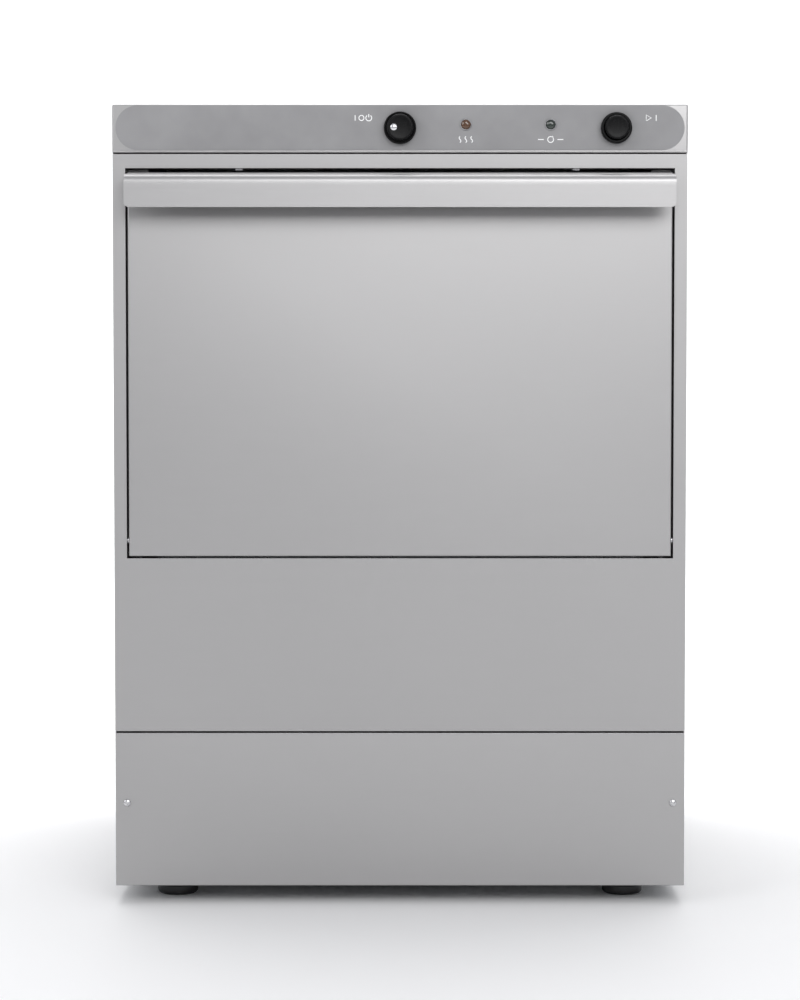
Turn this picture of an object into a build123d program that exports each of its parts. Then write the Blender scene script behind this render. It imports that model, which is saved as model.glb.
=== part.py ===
"""Undercounter commercial dishwasher with a drop-down door, for 500 mm dish racks.

Frame: millimetres, +Z up, the front faces -Y and +X is to the right as seen from the front.
The origin is on the floor, under the middle of the machine's overall box.
"""
import os
from math import cos, radians, sin

from build123d import *

os.makedirs("parts", exist_ok=True)

# ---- overall sizes ---------------------------------------------------------------------------
width = 590.0
depth = 600.0
height = 825.3
sheet = 1.2
handle_proud = 35.0
inlet_proud = 14.0
touch_gap = 0.3
running_fit = 0.05

# ---- heights of the front's parts, above the floor -------------------------------------------
casing_bottom = 18.3
kick_height = 159.4
panel_seam = 1.8
lower_front_height = 179.4
door_gap = 2.0
fascia_height = 49.4
door_top_gap = 4.0
top_rail_height = 14.5
cover_seam = 1.5
tray_height = 30.0

# ---- door ------------------------------------------------------------------------------------
door_side_gap = 2.0
stile_width = 13.0
door_pan_depth = 22.0
pivot_setback = 10.0
pivot_rise = 16.0
rim_setback = 38.0
pin_radius = 4.0
lever_thickness = 5.0
crank_reach = 44.0
crank_drop = 29.0
crank_pin_radius = 3.0
spring_radius = 5.0

# ---- wash chamber ----------------------------------------------------------------------------
chamber_width = 506.0
back_space = 50.0
rim_width = 6.0
roof_drop = 14.0
tank_rise = 4.0
tank_depth = 134.0
sump_radius = 68.0
sump_depth = 40.0
runner_height = 407.0
heater_radius = 4.0

# ---- controls --------------------------------------------------------------------------------
knob_radius = 16.6
button_radius = 16.0
lamp_radius = 6.1
start_x = 221.5
amber_x = 67.5
green_x = 154.4
button_travel = 4.0
lamp_rise = 3.7
knob_hole_radius = 6.0
button_hole_radius = 11.2
lamp_hole_radius = 4.5

# ---- feet ------------------------------------------------------------------------------------
foot_radius = 21.2
foot_inset = 59.5
foot_stud_radius = 5.0
foot_edge_radius = 5.0

# ---- places worked out from the sizes above --------------------------------------------------
half = width / 2
front = -(handle_proud + depth + inlet_proud) / 2 + handle_proud
back = front + depth
kick_top = casing_bottom + kick_height
lower_front_bottom = kick_top + panel_seam
opening_bottom = lower_front_bottom + lower_front_height
door_bottom = opening_bottom + door_gap
cover_bottom = height - fascia_height
frame_top = cover_bottom - cover_seam
opening_top = frame_top - top_rail_height
door_top = opening_top - door_top_gap
opening_half = half - stile_width
door_half = opening_half - door_side_gap
pivot_y = front + pivot_setback
pivot_z = door_bottom + pivot_rise
rim = front + rim_setback
chamber_half = chamber_width / 2
chamber_back = back - back_space
chamber_y = (rim + chamber_back) / 2
roof = opening_top - roof_drop
tank_top = opening_bottom + tank_rise
tank_floor = tank_top - tank_depth
fascia_z = (cover_bottom + height) / 2
lever_side_gap = 2.5
lever_outer = door_half - sheet - lever_side_gap
lever_inner = lever_outer - lever_thickness
crank_y = pivot_y + crank_reach
crank_z = pivot_z - crank_drop
spring_side_gap = 0.5
spring_x = lever_inner - spring_radius - spring_side_gap
spring_anchor_height = 20.0
spring_foot = casing_bottom + tray_height + spring_anchor_height


# ---- shapes used by many pieces --------------------------------------------------------------
def block(low, high, mode=Mode.ADD):
    """A box between two opposite corners, joined to the piece being built."""
    size = [top - bottom for bottom, top in zip(low, high)]
    centre = [(top + bottom) / 2 for bottom, top in zip(low, high)]
    with Locations(tuple(centre)):
        Box(*size, mode=mode)


def rod(start, direction, radius, length, mode=Mode.ADD):
    """A round bar from start, along direction."""
    with BuildSketch(Plane(origin=start, z_dir=direction)) as section:
        Circle(radius)
    extrude(section.sketch, amount=length, mode=mode)


def hole(start, direction, radius, length):
    """Cut a round hole along direction, running on 1 mm past both ends."""
    before = [place - step for place, step in zip(start, direction)]
    rod(before, direction, radius, length + 2, Mode.SUBTRACT)


def ring(start, direction, outer, inner, length):
    """A round tube from start, along direction."""
    with BuildSketch(Plane(origin=start, z_dir=direction)) as section:
        Circle(outer)
        Circle(inner, mode=Mode.SUBTRACT)
    extrude(section.sketch, amount=length)


def hose(points, bend, outer, inner):
    """A hollow pipe along straight runs joined by arcs of one radius."""
    with BuildLine() as route:
        FilletPolyline(*points, radius=bend)
    with BuildSketch(Plane(origin=route.line @ 0, z_dir=route.line % 0)) as section:
        Circle(outer)
        Circle(inner, mode=Mode.SUBTRACT)
    sweep(section.sketch, path=route.line)


def heating_loop(points, bend):
    """A heating rod bent into a hairpin."""
    with BuildLine() as route:
        FilletPolyline(*points, radius=bend)
    with BuildSketch(Plane(origin=route.line @ 0, z_dir=route.line % 0)) as section:
        Circle(heater_radius)
    sweep(section.sketch, path=route.line)


def save(builder, node):
    """Label a finished piece and write its STEP file."""
    builder.part.label = node
    export_step(builder.part, f"parts/{node}.step")


# ---- casing ----------------------------------------------------------------------------------
tray_y = (front + sheet + touch_gap, back - sheet - touch_gap)
tray_half = half - sheet - touch_gap

feet_places = {
    "foot_front_left": (-half + foot_inset, front + foot_inset),
    "foot_front_right": (half - foot_inset, front + foot_inset),
    "foot_back_left": (-half + foot_inset, back - foot_inset),
    "foot_back_right": (half - foot_inset, back - foot_inset),
}
stud_length = 60.0
nut_radius = 11.0
nut_height = 12.0
tray_floor = casing_bottom + sheet
anchor_half_width, anchor_half_depth = 5.0, 10.0

with BuildPart() as base_tray:
    block((-tray_half, tray_y[0], casing_bottom), (tray_half, tray_y[1], casing_bottom + tray_height))
    block((-tray_half + sheet, tray_y[0] + sheet, tray_floor),
          (tray_half - sheet, tray_y[1] - sheet, casing_bottom + tray_height), Mode.SUBTRACT)
    for side in (-1, 1):
        block((side * spring_x - anchor_half_width, crank_y - anchor_half_depth, tray_floor),
              (side * spring_x + anchor_half_width, crank_y + anchor_half_depth, spring_foot))
    for foot_x, foot_y in feet_places.values():
        rod((foot_x, foot_y, tray_floor), (0, 0, 1), nut_radius, nut_height)
        rod((foot_x, foot_y, 0), (0, 0, 1), foot_stud_radius + running_fit, 2 * tray_height, Mode.SUBTRACT)
save(base_tray, "base_tray")

foot_pad_height = casing_bottom - touch_gap
for foot_name, (foot_x, foot_y) in feet_places.items():
    with BuildPart() as foot:
        rod((foot_x, foot_y, 0), (0, 0, 1), foot_radius, foot_pad_height)
        fillet(foot.edges().group_by(Axis.Z)[0], radius=foot_edge_radius)
        rod((foot_x, foot_y, foot_pad_height), (0, 0, 1), foot_stud_radius, stud_length)
    save(foot, foot_name)

flange_wide = 24.0
flange_narrow = 10.0
flange_y = front + sheet
seam_relief = 5.0
with BuildPart() as side_panels:
    for side in (-1, 1):
        outer_x, inner_x = side * half, side * (half - sheet)
        block((min(outer_x, inner_x), flange_y, casing_bottom),
              (max(outer_x, inner_x), back - sheet, cover_bottom))
        for flange, flange_bottom, flange_top in (
                (flange_wide, casing_bottom + tray_height + sheet, kick_top - seam_relief),
                (flange_wide, lower_front_bottom + seam_relief, opening_bottom - tray_height),
                (flange_narrow, opening_bottom - tray_height, frame_top)):
            near, far = sorted((inner_x, side * (half - flange)))
            block((near, flange_y, flange_bottom), (far, flange_y + sheet, flange_top))
save(side_panels, "side_panels")

kick_screw_inset, kick_screw_rise = 12.0, 86.5
kick_screw_x = half - kick_screw_inset
kick_screw_z = casing_bottom + kick_screw_rise
screw_radius, screw_clearance = 2.0, 0.2
hem = 14.0
with BuildPart() as kick_panel:
    block((-half, front, casing_bottom), (half, front + sheet, kick_top))
    block((-half + flange_wide, front + sheet, kick_top - sheet), (half - flange_wide, front + hem, kick_top))
    for side in (-1, 1):
        hole((side * kick_screw_x, front, kick_screw_z), (0, 1, 0), screw_radius + screw_clearance, sheet)
save(kick_panel, "kick_panel")

lever_sweep = 70.0
jamb_bottom = pivot_z + lever_sweep
jamb_clearance = 1.0
jamb_inner = chamber_half + sheet + rim_width + jamb_clearance
pin_hole_clearance = 0.5
with BuildPart() as front_frame:
    block((-half, front, lower_front_bottom), (half, front + sheet, frame_top))
    block((-opening_half, front - sheet, opening_bottom), (opening_half, front + 2 * sheet, opening_top),
          Mode.SUBTRACT)
    block((-half + flange_wide, front + sheet, lower_front_bottom),
          (half - flange_wide, front + hem, lower_front_bottom + sheet))
    block((-opening_half, front + sheet, opening_top), (opening_half, front + hem, opening_top + sheet))
    for side in (-1, 1):
        near, far = sorted((side * opening_half, side * (opening_half + sheet)))
        block((near, front + sheet, opening_bottom), (far, rim, opening_top + sheet))
        near, far = sorted((side * jamb_inner, side * opening_half))
        block((near, rim - sheet, jamb_bottom), (far, rim, opening_top + sheet))
        hole((side * opening_half, pivot_y, pivot_z), (side, 0, 0), pin_radius + pin_hole_clearance, sheet)
save(front_frame, "front_frame")

cover_overhang, cover_edge_radius = 0.3, 1.5
cover_half = half + cover_overhang
lamp_z = fascia_z + lamp_rise
control_holes = ((0, fascia_z, knob_hole_radius), (start_x, fascia_z, button_hole_radius),
                 (amber_x, lamp_z, lamp_hole_radius), (green_x, lamp_z, lamp_hole_radius))
with BuildPart() as top_cover:
    block((-cover_half, front, cover_bottom), (cover_half, back, height))
    fillet(top_cover.edges().group_by(Axis.Z)[-1], radius=cover_edge_radius)
    block((-cover_half + sheet, front + sheet, cover_bottom - 1),
          (cover_half - sheet, back - sheet, height - sheet), Mode.SUBTRACT)
    for hole_x, hole_z, hole_radius in control_holes:
        hole((hole_x, front, hole_z), (0, 1, 0), hole_radius, sheet)
save(top_cover, "top_cover")

overlay_height = 45.4
overlay_thickness = 0.5
overlay_end_gap = 3.3
overlay_rise = 0.6
with BuildPart() as fascia_overlay:
    with BuildSketch(Plane(origin=(0, front, fascia_z + overlay_rise), x_dir=(1, 0, 0), z_dir=(0, -1, 0))):
        SlotOverall(width - 2 * overlay_end_gap, overlay_height)
    extrude(amount=overlay_thickness)
    for hole_x, hole_z, hole_radius in control_holes:
        hole((hole_x, front, hole_z), (0, -1, 0), hole_radius, overlay_thickness)
save(fascia_overlay, "fascia_overlay")

inlet_place = (-230.0, 120.0)
drain_place = (190.0, 72.0)
gland_place = (240.0, 150.0)
inlet_radius = 13.2
drain_radius = 16.0
gland_radius = 10.0
port_clearance = 0.5
louvre_length, louvre_height = 24.0, 4.0
louvre_spacing = (30.0, 12.0)
louvre_count = (6, 5)
louvre_z = 68.0
neck_relief = 1.2
neck_length = 1.0
with BuildPart() as back_panel:
    block((-half + sheet, back - sheet, casing_bottom), (half - sheet, back, cover_bottom))
    for (hole_x, hole_z), hole_radius in ((inlet_place, inlet_radius), (drain_place, drain_radius),
                                          (gland_place, gland_radius)):
        hole((hole_x, back - sheet, hole_z), (0, 1, 0), hole_radius + port_clearance, sheet)
    with BuildSketch(Plane(origin=(0, back, louvre_z), x_dir=(1, 0, 0), z_dir=(0, -1, 0))):
        with GridLocations(*louvre_spacing, *louvre_count):
            SlotOverall(louvre_length, louvre_height)
    extrude(amount=2 * sheet, both=True, mode=Mode.SUBTRACT)
save(back_panel, "back_panel")

back_screw_x = half - 8.0
back_screw_heights = (60.0, 400.0, 730.0)
screw_head_radius = 3.9
screw_head_height = 2.2
socket_radius, socket_depth = 1.3, 1.2
with BuildPart() as panel_screws:
    for side in (-1, 1):
        kick_place = (side * kick_screw_x, front, kick_screw_z)
        rod(kick_place, (0, -1, 0), screw_head_radius, screw_head_height)
        rod(kick_place, (0, 1, 0), screw_radius, sheet)
        rod((kick_place[0], front - screw_head_height, kick_screw_z), (0, 1, 0), socket_radius, socket_depth,
            Mode.SUBTRACT)
        for screw_z in back_screw_heights:
            rod((side * back_screw_x, back, screw_z), (0, 1, 0), screw_head_radius, screw_head_height)
            rod((side * back_screw_x, back + screw_head_height, screw_z), (0, -1, 0),
                socket_radius, socket_depth, Mode.SUBTRACT)
save(panel_screws, "panel_screws")

# ---- wash chamber ----------------------------------------------------------------------------
lower_hub_radius = 22.0
drain_bore = 10.0
drain_wall = 3.0
drain_spigot = 26.0
suction_radius, suction_wall = 20.0, 2.0
hub_clearance = 0.2
shelf_drop, shelf_width = 34.0, 10.0
sump_forward = 134.5
sump_x, sump_y = 90.0, chamber_y - sump_forward
drain_x, suction_x = sump_x + 32.0, sump_x - 30.0
sump_bottom = tank_floor - sump_depth
shelf_z = tank_top - shelf_drop
outer_half = chamber_half + sheet

with BuildPart() as wash_tank:
    block((-outer_half, rim, tank_floor), (outer_half, chamber_back + sheet, tank_top))
    block((-chamber_half, rim + sheet, tank_floor + sheet), (chamber_half, chamber_back, tank_top),
          Mode.SUBTRACT)
    rod((sump_x, sump_y, sump_bottom), (0, 0, 1), sump_radius, sump_depth)
    rod((sump_x, sump_y, sump_bottom + sheet), (0, 0, 1), sump_radius - sheet, sump_depth + sheet,
        Mode.SUBTRACT)
    hole((0, chamber_y, tank_floor), (0, 0, 1), lower_hub_radius + hub_clearance, sheet)
    rod((drain_x, sump_y, sump_bottom - drain_spigot), (0, 0, 1), drain_bore + drain_wall, drain_spigot)
    hole((drain_x, sump_y, sump_bottom - drain_spigot), (0, 0, 1), drain_bore, drain_spigot + sheet)
    hole((suction_x, sump_y, sump_bottom), (0, 0, 1), suction_radius - suction_wall, sheet)
    for side in (-1, 1):
        near, far = sorted((side * chamber_half, side * (chamber_half - shelf_width)))
        block((near, rim + sheet, shelf_z - sheet), (far, chamber_back, shelf_z))
save(wash_tank, "wash_tank")

with BuildPart() as chamber_sides:
    for side in (-1, 1):
        near, far = sorted((side * chamber_half, side * outer_half))
        block((near, rim, tank_top), (far, chamber_back + sheet, roof))
        near, far = sorted((side * outer_half, side * (outer_half + rim_width)))
        block((near, rim, tank_top), (far, rim + sheet, roof))
save(chamber_sides, "chamber_sides")

rim_top = roof + rim_width
with BuildPart() as chamber_roof:
    block((-chamber_half, chamber_back, tank_top), (chamber_half, chamber_back + sheet, roof))
    block((-outer_half, rim, roof), (outer_half, chamber_back + sheet, roof + sheet))
    block((-outer_half - rim_width, rim, roof), (outer_half + rim_width, rim + sheet, rim_top))
    hole((0, chamber_y, roof), (0, 0, 1), lower_hub_radius + hub_clearance, sheet)
save(chamber_roof, "chamber_roof_and_back")

seal_width = 6.5
seal_depth = rim - (front + door_pan_depth) - touch_gap
seal_swing_gap = 1.0
seal_bottom = pivot_z + door_pan_depth - pivot_setback + seal_swing_gap
with BuildPart() as door_seal:
    seal_inner, seal_outer = outer_half, outer_half + seal_width
    for side in (-1, 1):
        near, far = sorted((side * seal_inner, side * seal_outer))
        block((near, rim - seal_depth, seal_bottom), (far, rim, roof))
    block((-seal_outer, rim - seal_depth, roof), (seal_outer, rim, roof + seal_width))
save(door_seal, "door_seal")

runner_leg, runner_below, runner_above, runner_end_gap = 18.0, 14.0, 16.0, 6.0
with BuildPart() as rack_runners:
    for side in (-1, 1):
        near, far = sorted((side * chamber_half, side * (chamber_half - sheet)))
        block((near, rim + runner_end_gap, runner_height - runner_below),
              (far, chamber_back - runner_end_gap, runner_height + runner_above))
        near, far = sorted((side * chamber_half, side * (chamber_half - runner_leg)))
        block((near, rim + runner_end_gap, runner_height - sheet),
              (far, chamber_back - runner_end_gap, runner_height))
save(rack_runners, "rack_runners")

filter_rim_radius = 56.0
plate_fit = 1.0
plate_half = chamber_half - plate_fit
plate_front = rim + 2 * sheet + 0.1
slot_length, slot_height = 28.0, 6.0
slot_spacing = (36.0, 20.0)
with BuildPart() as filter_plates:
    for side in (-1, 1):
        near, far = sorted((side * 0.5, side * plate_half))
        block((near, plate_front, shelf_z), (far, chamber_back - plate_fit, shelf_z + sheet))
        with BuildSketch(Plane.XY.offset(shelf_z - 1)):
            with Locations((side * chamber_half * 0.5, chamber_y + 130)):
                with GridLocations(*slot_spacing, 5, 7):
                    SlotOverall(slot_length, slot_height)
            with Locations((side * (chamber_half - 60), chamber_y - 100)):
                with GridLocations(*slot_spacing, 2, 8):
                    SlotOverall(slot_length, slot_height)
        extrude(amount=5, mode=Mode.SUBTRACT)
    hole((0, chamber_y, shelf_z), (0, 0, 1), lower_hub_radius + 3, sheet)
    hole((sump_x, sump_y, shelf_z), (0, 0, 1), filter_rim_radius, sheet)
save(filter_plates, "filter_plates")

basket_base = sump_bottom + sheet + touch_gap
basket_outer = filter_rim_radius - 2.0
basket_inner = basket_outer - sheet
with BuildPart() as sump_filter:
    ring((sump_x, sump_y, basket_base), (0, 0, 1), basket_outer, basket_inner, shelf_z + sheet - basket_base)
    ring((sump_x, sump_y, shelf_z + sheet), (0, 0, 1), filter_rim_radius + 6, basket_inner, sheet)
save(sump_filter, "sump_filter")

pipe_radius, pipe_wall = 14.0, 1.6
water_drop = 10.0
pipe_top = tank_top - water_drop
pipe_plug, plug_wall, pipe_cap = 12.0, 2.0, 5.0
with BuildPart() as standpipe:
    ring((drain_x, sump_y, basket_base), (0, 0, 1), pipe_radius, pipe_radius - pipe_wall,
         pipe_top - basket_base)
    ring((drain_x, sump_y, pipe_top), (0, 0, 1), pipe_radius + 4, pipe_radius - 5, pipe_cap)
    ring((drain_x, sump_y, basket_base - pipe_plug), (0, 0, 1), drain_bore - running_fit,
         drain_bore - plug_wall, pipe_plug + pipe_wall)
    ring((drain_x, sump_y, basket_base), (0, 0, 1), pipe_radius, drain_bore - plug_wall, pipe_wall)
save(standpipe, "standpipe")

heater_z = tank_floor + 30.0
heater_y = chamber_back - 70.0
heater_reach = 190.0
heater_spread = 30.0
heater_flange = 6.0
flange_overhang, flange_half_height = 12.0, 14.0
loop_bend_gap = 2.0
with BuildPart() as tank_heater:
    root_x = -chamber_half + heater_flange
    heating_loop([(root_x, heater_y - heater_spread, heater_z),
                  (root_x + heater_reach, heater_y - heater_spread, heater_z),
                  (root_x + heater_reach, heater_y + heater_spread, heater_z),
                  (root_x, heater_y + heater_spread, heater_z)], heater_spread - loop_bend_gap)
    block((-chamber_half, heater_y - heater_spread - flange_overhang, heater_z - flange_half_height),
          (root_x, heater_y + heater_spread + flange_overhang, heater_z + flange_half_height))
save(tank_heater, "tank_heater")

# ---- spray arms ------------------------------------------------------------------------------
arm_end_gap = 24.0
arm_reach = chamber_half - arm_end_gap
rinse_reach = arm_reach - 10.0
wash_bore, rinse_bore = 12.0, 8.0
wash_width, rinse_width = 38.0, 14.0
wash_hub_radius, rinse_hub_radius = 32.0, 20.0
wash_height, rinse_height = 14.0, 9.0
wash_nozzle_radius, wash_nozzle_height, wash_nozzle_offset = 5.0, 2.0, 6.0
rinse_nozzle_radius, rinse_nozzle_height = 3.5, 1.5
wash_nozzles, rinse_nozzles = 5, 4
wash_nozzle_end, rinse_nozzle_end = 18.0, 26.0
arm_spacing, roof_spacing = 4.0, 16.0
lower_wash_z = tank_top + touch_gap
lower_rinse_z = lower_wash_z + wash_height + arm_spacing
upper_wash_z = roof - roof_spacing - wash_height
upper_rinse_z = upper_wash_z - arm_spacing - rinse_height


def wash_arm(base_z, nozzle_z, nozzle_side):
    """A flat two-bladed arm with a round hub and raised nozzles on one face."""
    with BuildSketch(Plane.XY.offset(base_z)) as outline:
        with Locations((0, chamber_y)):
            SlotOverall(2 * arm_reach, wash_width)
            Circle(wash_hub_radius)
            Circle(wash_bore + running_fit, mode=Mode.SUBTRACT)
    extrude(outline.sketch, amount=wash_height)
    for place in range(1, wash_nozzles + 1):
        for side in (-1, 1):
            reach = side * (arm_reach * place / wash_nozzles - wash_nozzle_end)
            rod((reach, chamber_y + side * wash_nozzle_offset, nozzle_z), (0, 0, nozzle_side),
                wash_nozzle_radius, wash_nozzle_height)


def rinse_arm(base_z, nozzle_z, nozzle_side, turn):
    """A narrow arm turned about its hub, with small raised jets on one face."""
    along = (cos(radians(turn)), sin(radians(turn)), 0)
    with BuildSketch(Plane(origin=(0, chamber_y, base_z), x_dir=along, z_dir=(0, 0, 1))) as outline:
        SlotOverall(2 * rinse_reach, rinse_width)
        Circle(rinse_hub_radius)
        Circle(rinse_bore + running_fit, mode=Mode.SUBTRACT)
    extrude(outline.sketch, amount=rinse_height)
    for place in range(1, rinse_nozzles + 1):
        for side in (-1, 1):
            reach = side * (arm_reach * place / rinse_nozzles - rinse_nozzle_end)
            rod((reach * cos(radians(turn)), chamber_y + reach * sin(radians(turn)), nozzle_z),
                (0, 0, nozzle_side), rinse_nozzle_radius, rinse_nozzle_height)


rinse_turn = 38.0
with BuildPart() as lower_wash_arm:
    wash_arm(lower_wash_z, lower_wash_z + wash_height, 1)
save(lower_wash_arm, "lower_wash_arm")

with BuildPart() as upper_wash_arm:
    wash_arm(upper_wash_z, upper_wash_z, -1)
save(upper_wash_arm, "upper_wash_arm")

with BuildPart() as lower_rinse_arm:
    rinse_arm(lower_rinse_z, lower_rinse_z + rinse_height, 1, rinse_turn)
save(lower_rinse_arm, "lower_rinse_arm")

with BuildPart() as upper_rinse_arm:
    rinse_arm(upper_rinse_z, upper_rinse_z, -1, -rinse_turn)
save(upper_rinse_arm, "upper_rinse_arm")

hub_foot = tank_floor - 20.0
nut_grip = 17.0
nut_thickness, nut_wall, nut_edge_radius = 12.0, 1.5, 4.0
spindle_end = 10.0
collar_width = 4.0
with BuildPart() as lower_spindle:
    rod((0, chamber_y, hub_foot), (0, 0, 1), lower_hub_radius, tank_top - hub_foot)
    rod((0, chamber_y, tank_top), (0, 0, 1), wash_bore, lower_rinse_z - touch_gap - tank_top)
    rod((0, chamber_y, lower_rinse_z - touch_gap), (0, 0, 1), rinse_bore, rinse_height + spindle_end)

hub_height = 18.0
hub_head = roof + hub_height
upper_nut_top = upper_rinse_z - touch_gap
with BuildPart() as arm_spindles:
    add(lower_spindle.part)
    rod((0, chamber_y, upper_wash_z + wash_height + touch_gap), (0, 0, 1), lower_hub_radius,
        hub_head - (upper_wash_z + wash_height + touch_gap))
    rod((0, chamber_y, upper_wash_z - touch_gap), (0, 0, 1), wash_bore, wash_height + 2 * touch_gap)
    rod((0, chamber_y, upper_rinse_z + rinse_height + touch_gap), (0, 0, 1), wash_bore + collar_width,
        arm_spacing - 2 * touch_gap)
    rod((0, chamber_y, upper_nut_top - spindle_end), (0, 0, 1), rinse_bore,
        2 * touch_gap + rinse_height + spindle_end)
save(arm_spindles, "arm_spindles")

lower_nut_bottom = lower_rinse_z + rinse_height + touch_gap
with BuildPart() as arm_nuts:
    for nut_z, nut_way in ((lower_nut_bottom, 1), (upper_nut_top, -1)):
        rod((0, chamber_y, nut_z), (0, 0, nut_way), nut_grip, nut_thickness)
    nut_ends = arm_nuts.edges().group_by(Axis.Z)
    fillet(nut_ends[0] + nut_ends[-1], radius=nut_edge_radius)
    for nut_z, nut_way in ((lower_nut_bottom, 1), (upper_nut_top, -1)):
        rod((0, chamber_y, nut_z), (0, 0, nut_way), rinse_bore + running_fit, nut_thickness - nut_wall,
            Mode.SUBTRACT)
save(arm_nuts, "arm_nuts")

# ---- door ------------------------------------------------------------------------------------
door_inside = front + door_pan_depth
raised_side_gap, raised_top_gap, raised_swing_gap = 8.0, 7.0, 20.0
raised_half = chamber_half - raised_side_gap
raised_depth = 14.0
raised_bottom = pivot_z + raised_swing_gap
raised_top = roof - raised_top_gap
slot_clearance, slot_half_height = 0.8, 14.0
pan_pin_clearance = 0.3
pin_end = half - 4.0

with BuildPart() as door_outer_panel:
    block((-door_half, front, door_bottom), (door_half, door_inside, door_top))
    block((-door_half + sheet, front + sheet, door_bottom + sheet),
          (door_half - sheet, door_inside + 1, door_top - sheet), Mode.SUBTRACT)
    for side in (-1, 1):
        hole((side * (door_half - sheet), pivot_y, pivot_z), (side, 0, 0),
             pin_radius + pan_pin_clearance, sheet)
save(door_outer_panel, "door_outer_panel")

with BuildPart() as door_inner_panel:
    block((-door_half + sheet, door_inside - sheet, door_bottom + sheet),
          (door_half - sheet, door_inside, door_top - sheet))
    block((-raised_half, door_inside - sheet, raised_bottom),
          (raised_half, door_inside + raised_depth, raised_top))
    block((-raised_half + sheet, door_inside - 2 * sheet, raised_bottom + sheet),
          (raised_half - sheet, door_inside + raised_depth - sheet, raised_top - sheet), Mode.SUBTRACT)
    for side in (-1, 1):
        near, far = sorted((side * (lever_inner - slot_clearance), side * (lever_outer + slot_clearance)))
        block((near, door_inside - 2 * sheet, pivot_z - slot_half_height),
              (far, door_inside + sheet, pivot_z + slot_half_height), Mode.SUBTRACT)
save(door_inner_panel, "door_inner_panel")

handle_drop = 3.5
handle_top = door_top - handle_drop
handle_height = 34.5
handle_sheet = 1.5
handle_bend = 9.0
handle_flange = 22.0
with BuildPart() as door_handle:
    with BuildSketch(Plane(origin=(-door_half, 0, 0), x_dir=(0, 1, 0), z_dir=(1, 0, 0))):
        with BuildLine():
            handle_face = front - handle_proud
            FilletPolyline((front, handle_top), (handle_face, handle_top),
                           (handle_face, handle_top - handle_height), radius=handle_bend)
            offset(amount=handle_sheet, side=Side.LEFT, closed=True)
        make_face()
    extrude(amount=2 * door_half)
    block((-door_half, front - handle_sheet, handle_top - handle_flange),
          (door_half, front, handle_top - handle_sheet))
save(door_handle, "door_handle")

handle_screw_z = handle_top - 13.0
handle_screw_spacing, handle_screw_count = 140.0, 4
with BuildPart() as handle_screws:
    for number in range(handle_screw_count):
        screw_x = (number - (handle_screw_count - 1) / 2) * handle_screw_spacing
        rod((screw_x, front + sheet, handle_screw_z), (0, 1, 0), 5, 3)
save(handle_screws, "handle_screws")

lever_half_width = 9.0
crank_tip = 8.0
lever_rise, lever_face_gap = 104.0, 3.0
pin_root = lever_inner + 0.5
crank_pin_end = chamber_half + sheet + rim_width + 2.5
with BuildPart() as door_levers:
    for side in (-1, 1):
        near, far = sorted((side * lever_inner, side * lever_outer))
        block((near, front + sheet, pivot_z - lever_half_width),
              (far, door_inside - sheet - touch_gap, pivot_z + lever_rise))
        block((near, front + lever_face_gap, pivot_z - lever_half_width),
              (far, crank_y + crank_tip, pivot_z + lever_half_width))
        block((near, crank_y - crank_tip, crank_z - crank_tip), (far, crank_y + crank_tip, pivot_z))
        rod((side * pin_root, pivot_y, pivot_z), (side, 0, 0), pin_radius, pin_end - lever_inner)
        rod((side * pin_root, crank_y, crank_z), (-side, 0, 0), crank_pin_radius, pin_root - crank_pin_end)
save(door_levers, "door_levers")

bracket_inner = opening_half + sheet
bracket_thickness, bracket_depth = 6.0, 33.0
bracket_below, bracket_above = 30.0, 34.0
bracket_front = front + lever_face_gap
with BuildPart() as hinge_brackets:
    for side in (-1, 1):
        near, far = sorted((side * bracket_inner, side * (bracket_inner + bracket_thickness)))
        block((near, bracket_front, pivot_z - bracket_below),
              (far, bracket_front + bracket_depth, pivot_z + bracket_above))
        hole((side * bracket_inner, pivot_y, pivot_z), (side, 0, 0),
             pin_radius + running_fit, bracket_thickness)
save(hinge_brackets, "hinge_brackets")

with BuildPart() as door_springs:
    for side in (-1, 1):
        rod((side * spring_x, crank_y, spring_foot), (0, 0, 1), spring_radius,
            crank_z - crank_pin_radius - touch_gap - spring_foot)
save(door_springs, "door_springs")

catch_places = (-165.5, 181.0)
catch_half_width, catch_thickness, catch_setback = 3.5, 1.5, 6.0
with BuildPart() as door_catch_plates:
    for catch_x in catch_places:
        block((catch_x - catch_half_width, front + catch_setback, opening_top - catch_thickness),
              (catch_x + catch_half_width, front + hem, opening_top))
save(door_catch_plates, "door_catch_plates")

magnet_x, magnet_size, magnet_setback = 120.0, 12.0, 5.0
with BuildPart() as door_magnet:
    block((magnet_x - magnet_size, front + magnet_setback, door_top - sheet - magnet_size),
          (magnet_x + magnet_size, front + magnet_setback + magnet_size, door_top - sheet))
save(door_magnet, "door_magnet")

with BuildPart() as door_switch:
    block((magnet_x - magnet_size - 2, front + sheet, opening_top + sheet),
          (magnet_x + magnet_size + 2, front + hem, frame_top - 1))
save(door_switch, "door_switch")

# ---- controls --------------------------------------------------------------------------------
face = front - overlay_thickness
knob_face = face - touch_gap
stem_radius, stem_length = 3.0, 24.0
knob_height, skirt_height, crown_edge_radius = 15.0, 8.0, 1.5
crown_step = 4.0
with BuildPart() as power_knob:
    rod((0, knob_face, fascia_z), (0, -1, 0), knob_radius, skirt_height)
    rod((0, knob_face, fascia_z), (0, -1, 0), knob_radius - crown_step, knob_height)
    fillet(power_knob.edges().filter_by(GeomType.CIRCLE).sort_by(Axis.Y)[0], radius=crown_edge_radius)
    rod((0, knob_face, fascia_z), (0, 1, 0), stem_radius, stem_length)
save(power_knob, "power_knob")

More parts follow.
